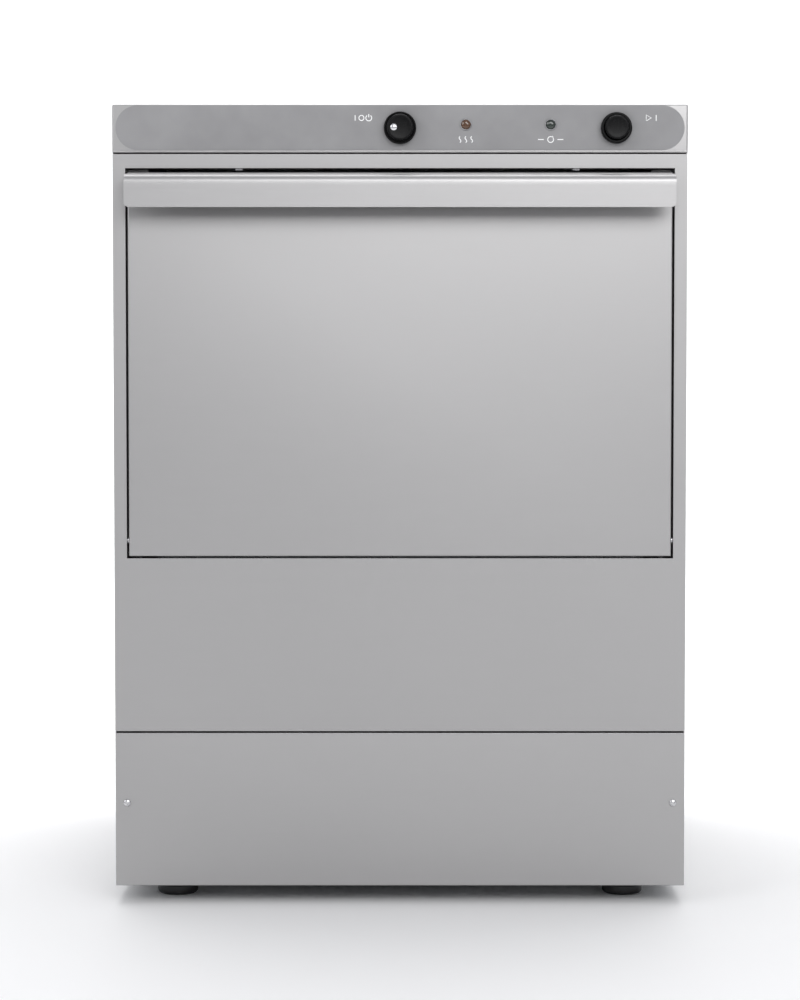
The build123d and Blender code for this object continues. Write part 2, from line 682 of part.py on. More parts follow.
marker_radius, marker_height, marker_edge_radius = 3.2, 1.2, 0.8
marker_x, marker_rise = -6.4, -0.3
with BuildPart() as power_knob_marker:
    rod((marker_x, knob_face - knob_height, fascia_z + marker_rise), (0, -1, 0), marker_radius, marker_height)
    fillet(power_knob_marker.edges().group_by(Axis.Y)[0], radius=marker_edge_radius)
save(power_knob_marker, "power_knob_marker")

switch_front = front + sheet
switch_half_width, switch_half_height, switch_depth = 20.0, 19.0, 34.0
with BuildPart() as power_switch:
    block((-switch_half_width, switch_front, fascia_z - switch_half_height),
          (switch_half_width, switch_front + switch_depth, fascia_z + switch_half_height))
    hole((0, switch_front, fascia_z), (0, 1, 0), stem_radius + running_fit, switch_depth)
save(power_switch, "power_switch")

cap_radius = button_radius - 3.84
cap_clearance, push_clearance, push_stop = 0.4, 0.5, 0.5
push_radius, push_length = 7.0, 22.0
bezel_height, bezel_floor, bezel_sleeve = 8.3, 1.5, 14.0
sleeve_radius = button_hole_radius - 0.2
with BuildPart() as start_bezel:
    ring((start_x, face, fascia_z), (0, -1, 0), button_radius, cap_radius + cap_clearance, bezel_height)
    ring((start_x, face, fascia_z), (0, 1, 0), sleeve_radius, push_radius + push_clearance, bezel_sleeve)
    ring((start_x, face, fascia_z), (0, -1, 0), button_radius, push_radius + push_clearance, bezel_floor)
save(start_bezel, "start_bezel")

cap_back = face - bezel_floor - button_travel - push_stop
with BuildPart() as start_button:
    rod((start_x, cap_back, fascia_z), (0, -1, 0), cap_radius, cap_back - (face - knob_height))
    fillet(start_button.edges().group_by(Axis.Y)[0], radius=crown_edge_radius)
    rod((start_x, cap_back, fascia_z), (0, 1, 0), push_radius, push_length)
save(start_button, "start_button")

contact_front = face + bezel_sleeve
contact_half, contact_depth, contact_well = 16.0, 24.0, 12.0
with BuildPart() as start_switch:
    block((start_x - contact_half, contact_front, fascia_z - contact_half),
          (start_x + contact_half, contact_front + contact_depth, fascia_z + contact_half))
    rod((start_x, contact_front, fascia_z), (0, 1, 0), push_radius + push_clearance, contact_well,
        Mode.SUBTRACT)
save(start_switch, "start_switch")

lens_radius, lens_inside, lens_length, lens_edge_radius = 4.2, 12.0, 14.5, 1.8
rim_height, lamp_nut_radius, lamp_nut_height = 1.4, 7.0, 3.0
for lamp_x, lamp_name in ((amber_x, "amber_lamp"), (green_x, "green_lamp")):
    with BuildPart() as lamp:
        rod((lamp_x, face + lens_inside, lamp_z), (0, -1, 0), lens_radius, lens_length)
        fillet(lamp.edges().group_by(Axis.Y)[0], radius=lens_edge_radius)
    save(lamp, lamp_name)

with BuildPart() as lamp_bezels:
    for lamp_x in (amber_x, green_x):
        ring((lamp_x, face, lamp_z), (0, -1, 0), lamp_radius, lens_radius + running_fit, rim_height)
        ring((lamp_x, switch_front, lamp_z), (0, 1, 0), lamp_nut_radius, lens_radius + running_fit,
             lamp_nut_height)
save(lamp_bezels, "lamp_bezels")

# ---- wash pump -------------------------------------------------------------------------------
pump_x, pump_z = suction_x, 95.0
drain_port_x, drain_port_z = drain_place
bush_foot = sump_bottom - drain_spigot
pump_setback = 62.0
volute_front = sump_y + pump_setback
volute_depth, volute_radius, volute_wall = 46.0, 52.0, 3.0
inlet_length, inlet_bore = 14.0, suction_radius - suction_wall
port_radius, port_bore, port_length = 16.0, 13.0, 12.0
pump_out = volute_front + volute_depth / 2
pump_out_z = pump_z + volute_radius + port_length
motor_radius, motor_length, motor_edge_radius = 50.0, 165.0, 5.0
motor_front = volute_front + volute_depth
motor_foot_half, motor_foot_inset, motor_foot_overlap = 40.0, 30.0, 8.0
motor_box_half, motor_box_front, motor_box_length, motor_box_rise = 30.0, 45.0, 80.0, 14.0
shaft_radius, shaft_length, shaft_hole_clearance = 6.0, 58.0, 1.0

with BuildPart() as pump_volute:
    rod((pump_x, volute_front, pump_z), (0, 1, 0), volute_radius, volute_depth)
    rod((pump_x, pump_out, pump_z), (0, 0, 1), port_radius, pump_out_z - pump_z)
    rod((pump_x, volute_front, pump_z), (0, -1, 0), suction_radius, inlet_length)
    rod((pump_x, volute_front + volute_wall, pump_z), (0, 1, 0), volute_radius - volute_wall,
        volute_depth - 2 * volute_wall, Mode.SUBTRACT)
    hole((pump_x, volute_front - inlet_length, pump_z), (0, 1, 0), inlet_bore, inlet_length + volute_wall)
    hole((pump_x, motor_front - volute_wall, pump_z), (0, 1, 0), shaft_radius + shaft_hole_clearance,
         volute_wall)
    hole((pump_x, pump_out, pump_z), (0, 0, 1), port_bore, pump_out_z - pump_z)
save(pump_volute, "pump_volute")

motor_foot_top = pump_z - motor_radius + motor_foot_overlap
with BuildPart() as pump_motor:
    rod((pump_x, motor_front, pump_z), (0, 1, 0), motor_radius, motor_length)
    fillet(pump_motor.edges().filter_by(GeomType.CIRCLE), radius=motor_edge_radius)
    block((pump_x - motor_foot_half, motor_front + motor_foot_inset, tray_floor),
          (pump_x + motor_foot_half, motor_front + motor_length - motor_foot_inset, motor_foot_top))
    block((pump_x - motor_box_half, motor_front + motor_box_front, pump_z),
          (pump_x + motor_box_half, motor_front + motor_box_front + motor_box_length,
           pump_z + motor_radius + motor_box_rise))
    rod((pump_x, motor_front, pump_z), (0, 1, 0), shaft_radius + running_fit, shaft_length, Mode.SUBTRACT)
save(pump_motor, "pump_motor")

blade_count, blade_thickness, blade_depth, blade_length = 6, 3.0, 20.0, 35.0
impeller_gap, impeller_setback = 6.0, 5.0
impeller_radius = volute_radius - volute_wall - impeller_gap
impeller_hub_radius, impeller_hub_length, impeller_disc = 11.0, 24.0, 3.0
disc_y = motor_front - volute_wall - impeller_setback
with BuildPart() as pump_impeller:
    rod((pump_x, disc_y, pump_z), (0, -1, 0), impeller_radius, impeller_disc)
    rod((pump_x, disc_y, pump_z), (0, -1, 0), impeller_hub_radius, impeller_hub_length)
    rod((pump_x, disc_y - impeller_disc, pump_z), (0, 1, 0), shaft_radius, shaft_length)
    with BuildSketch(Plane(origin=(pump_x, disc_y - 2, pump_z), z_dir=(0, -1, 0))):
        with PolarLocations(impeller_radius / 2 + 3, blade_count):
            Rectangle(blade_length, blade_thickness)
    extrude(amount=blade_depth)
save(pump_impeller, "pump_impeller")

riser_radius = 13.0
riser_bore = 11.5
feed_drop, riser_rise = 14.0, 26.0
feed_z = hub_foot - feed_drop
outlet_depth = 30.0
suction_bend, drain_bend, riser_bend = 30.0, 28.0, 20.0
drain_hose_radius, drain_hose_bore = drain_radius + 1.5, drain_radius - 2.5
with BuildPart() as tank_hoses:
    hose([(suction_x, sump_y, sump_bottom), (suction_x, sump_y, pump_z),
          (suction_x, volute_front - inlet_length, pump_z)], suction_bend, suction_radius, inlet_bore)
    hose([(drain_x, sump_y, bush_foot), (drain_x, sump_y, drain_port_z), (drain_port_x, sump_y, drain_port_z),
          (drain_port_x, back - outlet_depth, drain_port_z)], drain_bend, drain_hose_radius, drain_hose_bore)
save(tank_hoses, "tank_hoses")

riser_y = chamber_back + back_space / 2
riser_top = hub_head + riser_rise
with BuildPart() as feed_pipes:
    hose([(pump_x, pump_out, pump_out_z), (pump_x, pump_out, feed_z), (0, chamber_y, feed_z),
          (0, chamber_y, hub_foot)], riser_radius, riser_radius, riser_bore)
    hose([(0, chamber_y + riser_radius + touch_gap, feed_z), (0, riser_y, feed_z), (0, riser_y, riser_top),
          (0, chamber_y, riser_top), (0, chamber_y, hub_head)], riser_bend, riser_radius, riser_bore)
save(feed_pipes, "feed_pipes")

# ---- rinse water -----------------------------------------------------------------------------
boiler_x, boiler_z, boiler_radius = -175.0, 100.0, 62.0
boiler_front, boiler_length = -140.0, 290.0
boiler_back = boiler_front + boiler_length
boiler_top = boiler_z + boiler_radius
boiler_wall, boiler_end_radius = 1.5, 14.0
element_opening = 24.0
element_spread, element_reach = 13.0, 225.0
outlet_places = (-20.0, 100.0)
thin_radius, thin_bore = 7.0, 5.0
with BuildPart() as boiler_water:
    rod((boiler_x, boiler_front + boiler_wall, boiler_z), (0, 1, 0), boiler_radius - boiler_wall,
        boiler_length - 2 * boiler_wall)
    fillet(boiler_water.edges().filter_by(GeomType.CIRCLE), radius=boiler_end_radius - boiler_wall)

with BuildPart() as boiler:
    rod((boiler_x, boiler_front, boiler_z), (0, 1, 0), boiler_radius, boiler_length)
    fillet(boiler.edges().filter_by(GeomType.CIRCLE), radius=boiler_end_radius)
    add(boiler_water.part, mode=Mode.SUBTRACT)
    hole((boiler_x, boiler_front, boiler_z), (0, 1, 0), element_opening, boiler_wall)
    hole((boiler_x, boiler_back, boiler_z), (0, -1, 0), thin_bore, boiler_wall)
    for outlet_y in outlet_places:
        rod((boiler_x, outlet_y, boiler_z), (0, 0, 1), thin_bore, boiler_radius + 1, Mode.SUBTRACT)
save(boiler, "boiler")

cradle_inset, cradle_drop = 50.0, 20.0
cradle_half_width, cradle_half_depth = 50.0, 10.0
with BuildPart() as boiler_cradles:
    for cradle_y in (boiler_front + cradle_inset, boiler_back - cradle_inset):
        block((boiler_x - cradle_half_width, cradle_y - cradle_half_depth, tray_floor),
              (boiler_x + cradle_half_width, cradle_y + cradle_half_depth, boiler_z - cradle_drop))
        hole((boiler_x, cradle_y - cradle_half_depth, boiler_z), (0, 1, 0), boiler_radius + touch_gap,
             2 * cradle_half_depth)
save(boiler_cradles, "boiler_cradles")

element_flange_radius, element_flange = 32.0, 5.0
element_nut_radius, element_nut = 24.0, 12.0
terminal_radius, terminal_length, terminal_spacing = 2.5, 10.0, 10.0
nut_back = boiler_front - element_flange
with BuildPart() as boiler_element:
    rod((boiler_x, boiler_front, boiler_z), (0, -1, 0), element_flange_radius, element_flange)
    heating_loop([(boiler_x - element_spread, boiler_front, boiler_z),
                  (boiler_x - element_spread, boiler_front + element_reach, boiler_z),
                  (boiler_x + element_spread, boiler_front + element_reach, boiler_z),
                  (boiler_x + element_spread, boiler_front, boiler_z)], element_spread - 1)
    with BuildSketch(Plane(origin=(boiler_x, nut_back, boiler_z), z_dir=(0, -1, 0))):
        RegularPolygon(element_nut_radius, 6)
    extrude(amount=element_nut)
    for number in (-1, 0, 1):
        rod((boiler_x + number * terminal_spacing, nut_back - element_nut, boiler_z), (0, -1, 0),
            terminal_radius, terminal_length)
save(boiler_element, "boiler_element")

rinse_rise, rinse_bend, inlet_bend = 9.0, 12.0, 14.0
rinse_z = hub_foot + rinse_rise
roof_hose_z = roof + sheet + thin_radius + 1.5
inlet_x, inlet_z = inlet_place
valve_depth, hose_run = 60.0, 35.0
with BuildPart() as rinse_hoses:
    hose([(boiler_x, outlet_places[0], boiler_top + touch_gap), (boiler_x, outlet_places[0], rinse_z),
          (-60, chamber_y, rinse_z),
          (-lower_hub_radius - touch_gap, chamber_y, rinse_z)], rinse_bend, thin_radius, thin_bore)
    hose([(boiler_x, outlet_places[1], boiler_top + touch_gap), (boiler_x, outlet_places[1], rinse_z),
          (boiler_x, riser_y, rinse_z),
          (boiler_x, riser_y, roof_hose_z), (boiler_x, chamber_y, roof_hose_z),
          (-lower_hub_radius - touch_gap, chamber_y, roof_hose_z)], rinse_bend, thin_radius, thin_bore)
    hose([(inlet_x, back - valve_depth, inlet_z), (inlet_x, boiler_back + hose_run, inlet_z),
          (boiler_x, boiler_back + hose_run, boiler_z), (boiler_x, boiler_back, boiler_z)], inlet_bend,
         thin_radius, thin_bore)
save(rinse_hoses, "rinse_hoses")

valve_half_width, valve_half_height, inlet_hole = 22.0, 20.0, 9.0
coil_radius, coil_height, coil_setback, inlet_hole_depth = 15.0, 32.0, 40.0, 30.0
with BuildPart() as inlet_valve:
    block((inlet_x - valve_half_width, back - valve_depth, inlet_z - valve_half_height),
          (inlet_x + valve_half_width, back - sheet, inlet_z + valve_half_height))
    rod((inlet_x, back - sheet, inlet_z), (0, 1, 0), inlet_radius - neck_relief, sheet + neck_length)
    rod((inlet_x, back + neck_length, inlet_z), (0, 1, 0), inlet_radius, inlet_proud - neck_length)
    hole((inlet_x, back - inlet_hole_depth, inlet_z), (0, 1, 0), inlet_hole, inlet_hole_depth + inlet_proud)
    rod((inlet_x, back - coil_setback, inlet_z + valve_half_height), (0, 0, 1), coil_radius, coil_height)
save(inlet_valve, "inlet_valve")

# ---- drain -----------------------------------------------------------------------------------
outlet_bore = drain_radius - 3.0
collar_overhang, collar_thickness = 7.0, 4.0
with BuildPart() as drain_outlet:
    ring((drain_port_x, back - outlet_depth, drain_port_z), (0, 1, 0), drain_radius - neck_relief,
         outlet_bore, outlet_depth + neck_length)
    ring((drain_port_x, back + neck_length, drain_port_z), (0, 1, 0), drain_radius, outlet_bore,
         inlet_proud - 2 * neck_length)
    ring((drain_port_x, back - sheet - collar_thickness, drain_port_z), (0, 1, 0),
         drain_radius + collar_overhang, outlet_bore, collar_thickness)
save(drain_outlet, "drain_outlet")

# ---- electrics -------------------------------------------------------------------------------
gland_x, gland_z = gland_place
gland_bore, gland_reach, gland_overhang = 6.5, 12.0, 4.0
gland_nut, gland_cap = 5.0, 6.0
with BuildPart() as cable_gland:
    ring((gland_x, back - sheet - gland_reach, gland_z), (0, 1, 0), gland_radius, gland_bore,
         gland_reach + sheet + gland_reach)
    ring((gland_x, back, gland_z), (0, 1, 0), gland_radius + gland_overhang, gland_bore, gland_cap)
    ring((gland_x, back - sheet - gland_nut, gland_z), (0, 1, 0), gland_radius + gland_overhang, gland_bore,
         gland_nut)
save(cable_gland, "cable_gland")

panel_offset, panel_thickness = 14.0, 1.5
panel_face = tray_half - panel_offset
panel_span, panel_top = (-60.0, 180.0), 205.0
contactor_span, contactor_heights, contactor_depth = (-40.0, 5.0), (110.0, 185.0), 56.0
terminal_span, terminal_heights, terminal_depth = (60.0, 150.0), (150.0, 185.0), 32.0
with BuildPart() as electrical_panel:
    block((panel_face, panel_span[0], tray_floor), (panel_face + panel_thickness, panel_span[1], panel_top))
    for span, heights, part_depth in ((contactor_span, contactor_heights, contactor_depth),
                                      (terminal_span, terminal_heights, terminal_depth)):
        block((panel_face - part_depth, span[0], heights[0]), (panel_face - touch_gap, span[1], heights[1]))
save(electrical_panel, "electrical_panel")

pressure_y, pressure_z = 60.0, 190.0
capsule_radius, capsule_depth, spout_radius, spout_length = 24.0, 30.0, 5.0, 10.0
with BuildPart() as pressure_switch:
    rod((-half + sheet, pressure_y, pressure_z), (1, 0, 0), capsule_radius, capsule_depth)
    rod((-half + sheet + capsule_depth, pressure_y, pressure_z), (1, 0, 0), spout_radius, spout_length)
save(pressure_switch, "pressure_switch")
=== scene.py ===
"""Undercounter commercial dishwasher.

Rounded sheet metal, moulded controls and fittings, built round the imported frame.
"""
import math

import bmesh
import bpy
import numpy as np
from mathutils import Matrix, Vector


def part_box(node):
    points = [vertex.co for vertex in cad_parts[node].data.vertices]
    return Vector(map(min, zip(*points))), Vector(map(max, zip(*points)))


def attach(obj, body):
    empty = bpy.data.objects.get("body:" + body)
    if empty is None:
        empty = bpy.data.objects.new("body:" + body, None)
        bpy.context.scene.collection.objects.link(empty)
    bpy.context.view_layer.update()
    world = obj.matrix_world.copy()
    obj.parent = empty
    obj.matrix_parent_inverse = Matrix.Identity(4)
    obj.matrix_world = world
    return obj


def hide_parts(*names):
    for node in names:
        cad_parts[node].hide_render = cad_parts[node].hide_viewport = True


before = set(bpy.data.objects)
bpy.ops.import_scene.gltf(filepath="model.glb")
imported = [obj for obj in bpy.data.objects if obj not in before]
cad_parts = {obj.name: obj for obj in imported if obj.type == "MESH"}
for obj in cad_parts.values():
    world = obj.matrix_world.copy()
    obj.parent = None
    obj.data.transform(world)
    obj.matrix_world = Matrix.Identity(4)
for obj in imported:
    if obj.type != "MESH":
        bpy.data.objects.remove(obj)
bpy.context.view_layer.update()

MM = 0.001
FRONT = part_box("front_frame")[0].y
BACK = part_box("back_panel")[1].y
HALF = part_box("front_frame")[1].x


# ---- mesh makers -------------------------------------------------------------------------------
def make_piece(name, points, faces, body, material, smooth_angle=35.0, replaces=()):
    """Turn arrays of points (metres) and faces into a piece with merged seams and outward faces."""
    mesh = bpy.data.meshes.new(name)
    mesh.from_pydata(np.asarray(points, float).tolist(), [], [list(map(int, face)) for face in faces])
    shell = bmesh.new()
    shell.from_mesh(mesh)
    bmesh.ops.remove_doubles(shell, verts=shell.verts, dist=1e-7)
    bmesh.ops.recalc_face_normals(shell, faces=shell.faces)
    shell.to_mesh(mesh)
    shell.free()
    return settle(bpy.data.objects.new(name, mesh), body, material, smooth_angle, replaces)


def settle(piece, body, material, smooth_angle=35.0, replaces=()):
    """Link a piece to the scene, shade it, give it its finish and seat it on its body."""
    bpy.context.scene.collection.objects.link(piece)
    piece.data.polygons.foreach_set("use_smooth", np.ones(len(piece.data.polygons), bool))
    piece.data.set_sharp_from_angle(angle=math.radians(smooth_angle))
    piece.data.materials.clear()
    piece.data.materials.append(material)
    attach(piece, body)
    if replaces:
        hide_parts(*replaces)
    return piece


def grid_faces(rows, columns, wrap_columns=True, start=0):
    """Quads between neighbouring rows of a grid of points, closed round the columns if asked."""
    row, column = np.meshgrid(np.arange(rows - 1), np.arange(columns if wrap_columns else columns - 1),
                              indexing="ij")
    after = (column + 1) % columns
    here = start + row * columns
    return np.stack([here + column, here + after, here + columns + after, here + columns + column],
                    -1).reshape(-1, 4)


def tube_faces(rows, columns, start=0):
    """A grid closed round its columns, with a flat face over each end."""
    ends = [start + np.arange(columns)[::-1], start + (rows - 1) * columns + np.arange(columns)]
    return list(grid_faces(rows, columns, True, start)) + ends


def lathe(outline, centre, axis, steps=64):
    """Turn an outline of (radius, height) about an axis: point = centre + height*axis + radius*(cos, sin)."""
    radius, height = np.array(outline, float).T
    axis = np.array(axis, float)
    side = np.cross(axis, (0.0, 0.0, 1.0) if abs(axis[2]) < 0.9 else (1.0, 0.0, 0.0))
    side /= np.linalg.norm(side)
    other = np.cross(axis, side)
    angle = np.linspace(0, 2 * np.pi, steps, endpoint=False)
    circle = np.cos(angle)[:, None] * side + np.sin(angle)[:, None] * other
    points = (np.array(centre) + height[:, None, None] * axis + radius[:, None, None] * circle[None])
    return points.reshape(-1, 3), tube_faces(len(outline), steps)


def arc(centre_radius, centre_height, radius, start, stop, steps=6):
    """Points of an arc in an outline, angles in degrees from the radius direction."""
    angle = np.radians(np.linspace(start, stop, steps))
    return list(zip(centre_radius + radius * np.cos(angle), centre_height + radius * np.sin(angle)))


def rounded_ring(half_wide, half_high, corner, steps=6):
    """A rectangle with round corners as a closed ring of (across, up) points."""
    angle = np.linspace(0, np.pi / 2, steps)
    turn = np.arange(4)[:, None] * np.pi / 2
    across = np.sign(np.cos(turn + np.pi / 4)) * (half_wide - corner) + corner * np.cos(angle + turn)
    up = np.sign(np.sin(turn + np.pi / 4)) * (half_high - corner) + corner * np.sin(angle + turn)
    return np.stack([across.ravel(), up.ravel()], 1)


def folded_pan(low, high, out, bend, lip, sheet, corner):
    """A flat sheet folded back all round: rings of a rounded rectangle go over the bend, along the lip,
    round its edge and back inside at the sheet's thickness. Both flat faces close the ends."""
    low, high, out = np.array(low, float), np.array(high, float), np.array(out, float)
    normal_axis = int(np.argmax(np.abs(out)))
    across_axis, up_axis = [axis for axis in range(3) if axis != normal_axis]
    middle = (low + high) / 2
    half = (high - low) / 2
    face_level = high[normal_axis] if out[normal_axis] > 0 else low[normal_axis]
    angle = np.linspace(0, np.pi / 2, 6)
    outer = [(bend * (1 - math.sin(a)), bend * (1 - math.cos(a))) for a in angle] + [(0, lip)]
    inner_bend = max(bend - sheet, 0.1 * MM)
    inner = [(sheet, lip)] + [(sheet + inner_bend * (1 - math.sin(a)), sheet + inner_bend * (1 - math.cos(a)))
                              for a in angle[::-1]]
    rings = []
    for inset, sunk in outer + inner:
        ring = rounded_ring(half[across_axis] - inset, half[up_axis] - inset, max(corner - inset, 0.15 * MM))
        point = np.zeros((len(ring), 3))
        point[:, across_axis] = middle[across_axis] + ring[:, 0]
        point[:, up_axis] = middle[up_axis] + ring[:, 1]
        point[:, normal_axis] = face_level - out[normal_axis] * sunk
        rings.append(point)
    return np.concatenate(rings), tube_faces(len(rings), len(rings[0]))


def tube_along(path, radius, steps=12):
    """A round tube about a list of points: each ring stands square to the path and keeps its twist."""
    path = np.array(path, float)
    tangent = np.gradient(path, axis=0)
    tangent /= np.linalg.norm(tangent, axis=1)[:, None]
    side = np.zeros_like(path)
    side[0] = np.cross(tangent[0], (0.3, 0.2, 0.93))
    for place in range(1, len(path)):
        side[place] = side[place - 1] - tangent[place] * (side[place - 1] @ tangent[place])
    side /= np.linalg.norm(side, axis=1)[:, None]
    other = np.cross(tangent, side)
    angle = np.linspace(0, 2 * np.pi, steps, endpoint=False)
    ring = np.cos(angle)[None, :, None] * side[:, None] + np.sin(angle)[None, :, None] * other[:, None]
    return (path[:, None] + radius * ring).reshape(-1, 3), tube_faces(len(path), steps)


def join_shapes(shapes):
    """Several (points, faces) as one."""
    points, faces, start = [], [], 0
    for shape_points, shape_faces in shapes:
        points.append(shape_points)
        faces.extend([np.asarray(face) + start for face in shape_faces])
        start += len(shape_points)
    return np.concatenate(points), faces


def softened(node, body, material, edge=0.35 * MM, segments=2, angle=30.0):
    """A copy of a CAD node with its triangles merged and its edges rounded by a Bevel."""
    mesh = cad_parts[node].data.copy()
    shell = bmesh.new()
    shell.from_mesh(mesh)
    bmesh.ops.remove_doubles(shell, verts=shell.verts, dist=1e-6)
    bmesh.ops.dissolve_limit(shell, angle_limit=math.radians(1), verts=shell.verts, edges=shell.edges)
    shell.to_mesh(mesh)
    shell.free()
    piece = bpy.data.objects.new("round_" + node, mesh)
    settle(piece, body, material, 40.0, (node,))
    bevel = piece.modifiers.new("round_edges", "BEVEL")
    bevel.width = edge
    bevel.segments = segments
    bevel.limit_method = "ANGLE"
    bevel.angle_limit = math.radians(angle)
    bevel.harden_normals = True
    return piece


# ---- finishes ----------------------------------------------------------------------------------
def new_finish(name, colour, metallic, roughness):
    """A material with a Principled surface; returns it with its node tree and shader."""
    finish = bpy.data.materials.new(name)
    finish.use_nodes = True
    tree = finish.node_tree
    shader = tree.nodes["Principled BSDF"]
    shader.inputs["Base Color"].default_value = (*colour, 1)
    shader.inputs["Metallic"].default_value = metallic
    shader.inputs["Roughness"].default_value = roughness
    return finish, tree, shader


def object_noise(tree, scale, stretch=(1, 1, 1), detail=4.0, roughness=0.55):
    """Noise on Object coordinates, stretched along each axis; returns its Fac socket."""
    place = tree.nodes.new("ShaderNodeTexCoord")
    mapping = tree.nodes.new("ShaderNodeMapping")
    mapping.inputs["Scale"].default_value = stretch
    noise = tree.nodes.new("ShaderNodeTexNoise")
    noise.inputs["Scale"].default_value = scale
    noise.inputs["Detail"].default_value = detail
    noise.inputs["Roughness"].default_value = roughness
    tree.links.new(place.outputs["Object"], mapping.inputs["Vector"])
    tree.links.new(mapping.outputs["Vector"], noise.inputs["Vector"])
    return noise.outputs["Fac"]


def ramp(tree, source, low, high):
    """Map a 0 to 1 value to low to high; returns the Result socket."""
    remap = tree.nodes.new("ShaderNodeMapRange")
    remap.inputs["From Min"].default_value = 0.25
    remap.inputs["From Max"].default_value = 0.75
    remap.inputs["To Min"].default_value = low
    remap.inputs["To Max"].default_value = high
    tree.links.new(source, remap.inputs["Value"])
    return remap.outputs["Result"]


def mix_colours(tree, source, first, second):
    """Blend two colours by a 0 to 1 value; returns the Color socket."""
    blend = tree.nodes.new("ShaderNodeMix")
    blend.data_type = "RGBA"
    blend.inputs[6].default_value = (*first, 1)
    blend.inputs[7].default_value = (*second, 1)
    tree.links.new(source, blend.inputs[0])
    return blend.outputs[2]


def add_bump(tree, shader, source, strength, distance):
    """Drive the shader's normal with a height."""
    bump = tree.nodes.new("ShaderNodeBump")
    bump.inputs["Strength"].default_value = strength
    bump.inputs["Distance"].default_value = distance
    tree.links.new(source, bump.inputs["Height"])
    tree.links.new(bump.outputs["Normal"], shader.inputs["Normal"])


def brushed_steel(name, colour, grain=(4, 260, 260), rough=(0.30, 0.44), contrast=0.06, strength=0.12):
    """Stainless sheet: long fine scratches along the grain in roughness, tint and height, and broad soft
    clouds in the tint."""
    finish, tree, shader = new_finish(name, colour, 1.0, rough[0])
    scratches = object_noise(tree, 6.0, grain, 6.0, 0.65)
    clouds = object_noise(tree, 3.0, (1, 1, 1), 2.0, 0.5)
    both = tree.nodes.new("ShaderNodeMath")
    both.operation = "ADD"
    tree.links.new(ramp(tree, scratches, 0.0, 0.62), both.inputs[0])
    tree.links.new(ramp(tree, clouds, 0.0, 0.38), both.inputs[1])
    dark = tuple(channel * (1 - contrast) for channel in colour)
    light = tuple(min(channel * (1 + contrast), 1) for channel in colour)
    tree.links.new(mix_colours(tree, both.outputs[0], dark, light), shader.inputs["Base Color"])
    tree.links.new(ramp(tree, scratches, *rough), shader.inputs["Roughness"])
    add_bump(tree, shader, scratches, strength, 0.0001)
    return finish


def moulded(name, colour, roughness=0.35, grain=900.0, strength=0.05, shine=0.5):
    """Moulded plastic or rubber: a fine even grain with slight colour and gloss variation."""
    finish, tree, shader = new_finish(name, colour, 0.0, roughness)
    fine = object_noise(tree, grain, (1, 1, 1), 3.0, 0.5)
    broad = object_noise(tree, 40.0, (1, 1, 1), 2.0, 0.5)
    lighter = tuple(channel * 1.25 + 0.004 for channel in colour)
    tree.links.new(mix_colours(tree, broad, colour, lighter), shader.inputs["Base Color"])
    tree.links.new(ramp(tree, fine, roughness * 0.85, roughness * 1.15), shader.inputs["Roughness"])
    add_bump(tree, shader, fine, strength, 0.00005)
    shader.inputs["Specular IOR Level"].default_value = shine
    return finish


def lens(name, colour, deep):
    """A tinted facetted lamp lens, darker in its depth."""
    finish, tree, shader = new_finish(name, colour, 0.0, 0.06)
    speckle = object_noise(tree, 700.0, (1, 1, 1), 2.0, 0.6)
    tree.links.new(mix_colours(tree, speckle, deep, colour), shader.inputs["Base Color"])
    shader.inputs["Transmission Weight"].default_value = 0.35
    shader.inputs["IOR"].default_value = 1.5
    shader.inputs["Coat Weight"].default_value = 1.0
    shader.inputs["Coat Roughness"].default_value = 0.03
    return finish


casing_steel = brushed_steel("casing_steel", (0.435, 0.43, 0.43), (3, 420, 420), (0.42, 0.50), 0.035, 0.06)
handle_steel = brushed_steel("handle_steel", (0.46, 0.455, 0.455), (3, 520, 520), (0.34, 0.46), 0.05, 0.12)
side_steel = brushed_steel("side_steel", (0.435, 0.43, 0.43), (420, 3, 420), (0.42, 0.50), 0.035, 0.06)
chamber_steel = brushed_steel("chamber_steel", (0.56, 0.57, 0.58), (30, 30, 6), (0.22, 0.30), 0.03, 0.02)
fitting_steel = brushed_steel("fitting_steel", (0.58, 0.58, 0.59), (60, 60, 60), (0.18, 0.32), 0.06, 0.05)
galvanised = brushed_steel("galvanised", (0.46, 0.47, 0.48), (14, 14, 14), (0.35, 0.55), 0.16, 0.1)
spring_wire = brushed_steel("spring_wire", (0.34, 0.34, 0.35), (90, 90, 90), (0.25, 0.4), 0.08, 0.05)
brass = brushed_steel("brass", (0.66, 0.47, 0.20), (90, 90, 90), (0.22, 0.38), 0.08, 0.05)
chrome = brushed_steel("chrome", (0.80, 0.80, 0.82), (50, 50, 50), (0.05, 0.10), 0.02, 0.01)
overlay_film = moulded("overlay_film", (0.262, 0.26, 0.265), 0.62, 1500.0, 0.04)
print_white = moulded("print_white", (0.86, 0.86, 0.86), 0.5, 1500.0, 0.03)
gloss_black = moulded("gloss_black", (0.003, 0.003, 0.0033), 0.26, 500.0, 0.02, 0.14)
foot_black = moulded("foot_black", (0.012, 0.012, 0.013), 0.38, 700.0, 0.08)
hub_plastic = moulded("hub_plastic", (0.05, 0.05, 0.055), 0.42)
grey_plastic = moulded("grey_plastic", (0.33, 0.33, 0.34), 0.42)
pump_plastic = moulded("pump_plastic", (0.09, 0.09, 0.10), 0.5)
motor_paint = moulded("motor_paint", (0.05, 0.065, 0.09), 0.4)
switch_plastic = moulded("switch_plastic", (0.03, 0.03, 0.033), 0.45)
seal_rubber = moulded("seal_rubber", (0.022, 0.022, 0.024), 0.6, 500.0, 0.15)
hose_rubber = moulded("hose_rubber", (0.02, 0.02, 0.02), 0.62, 500.0, 0.15)
amber_glass = lens("amber_glass", (0.20, 0.075, 0.015), (0.05, 0.018, 0.006))
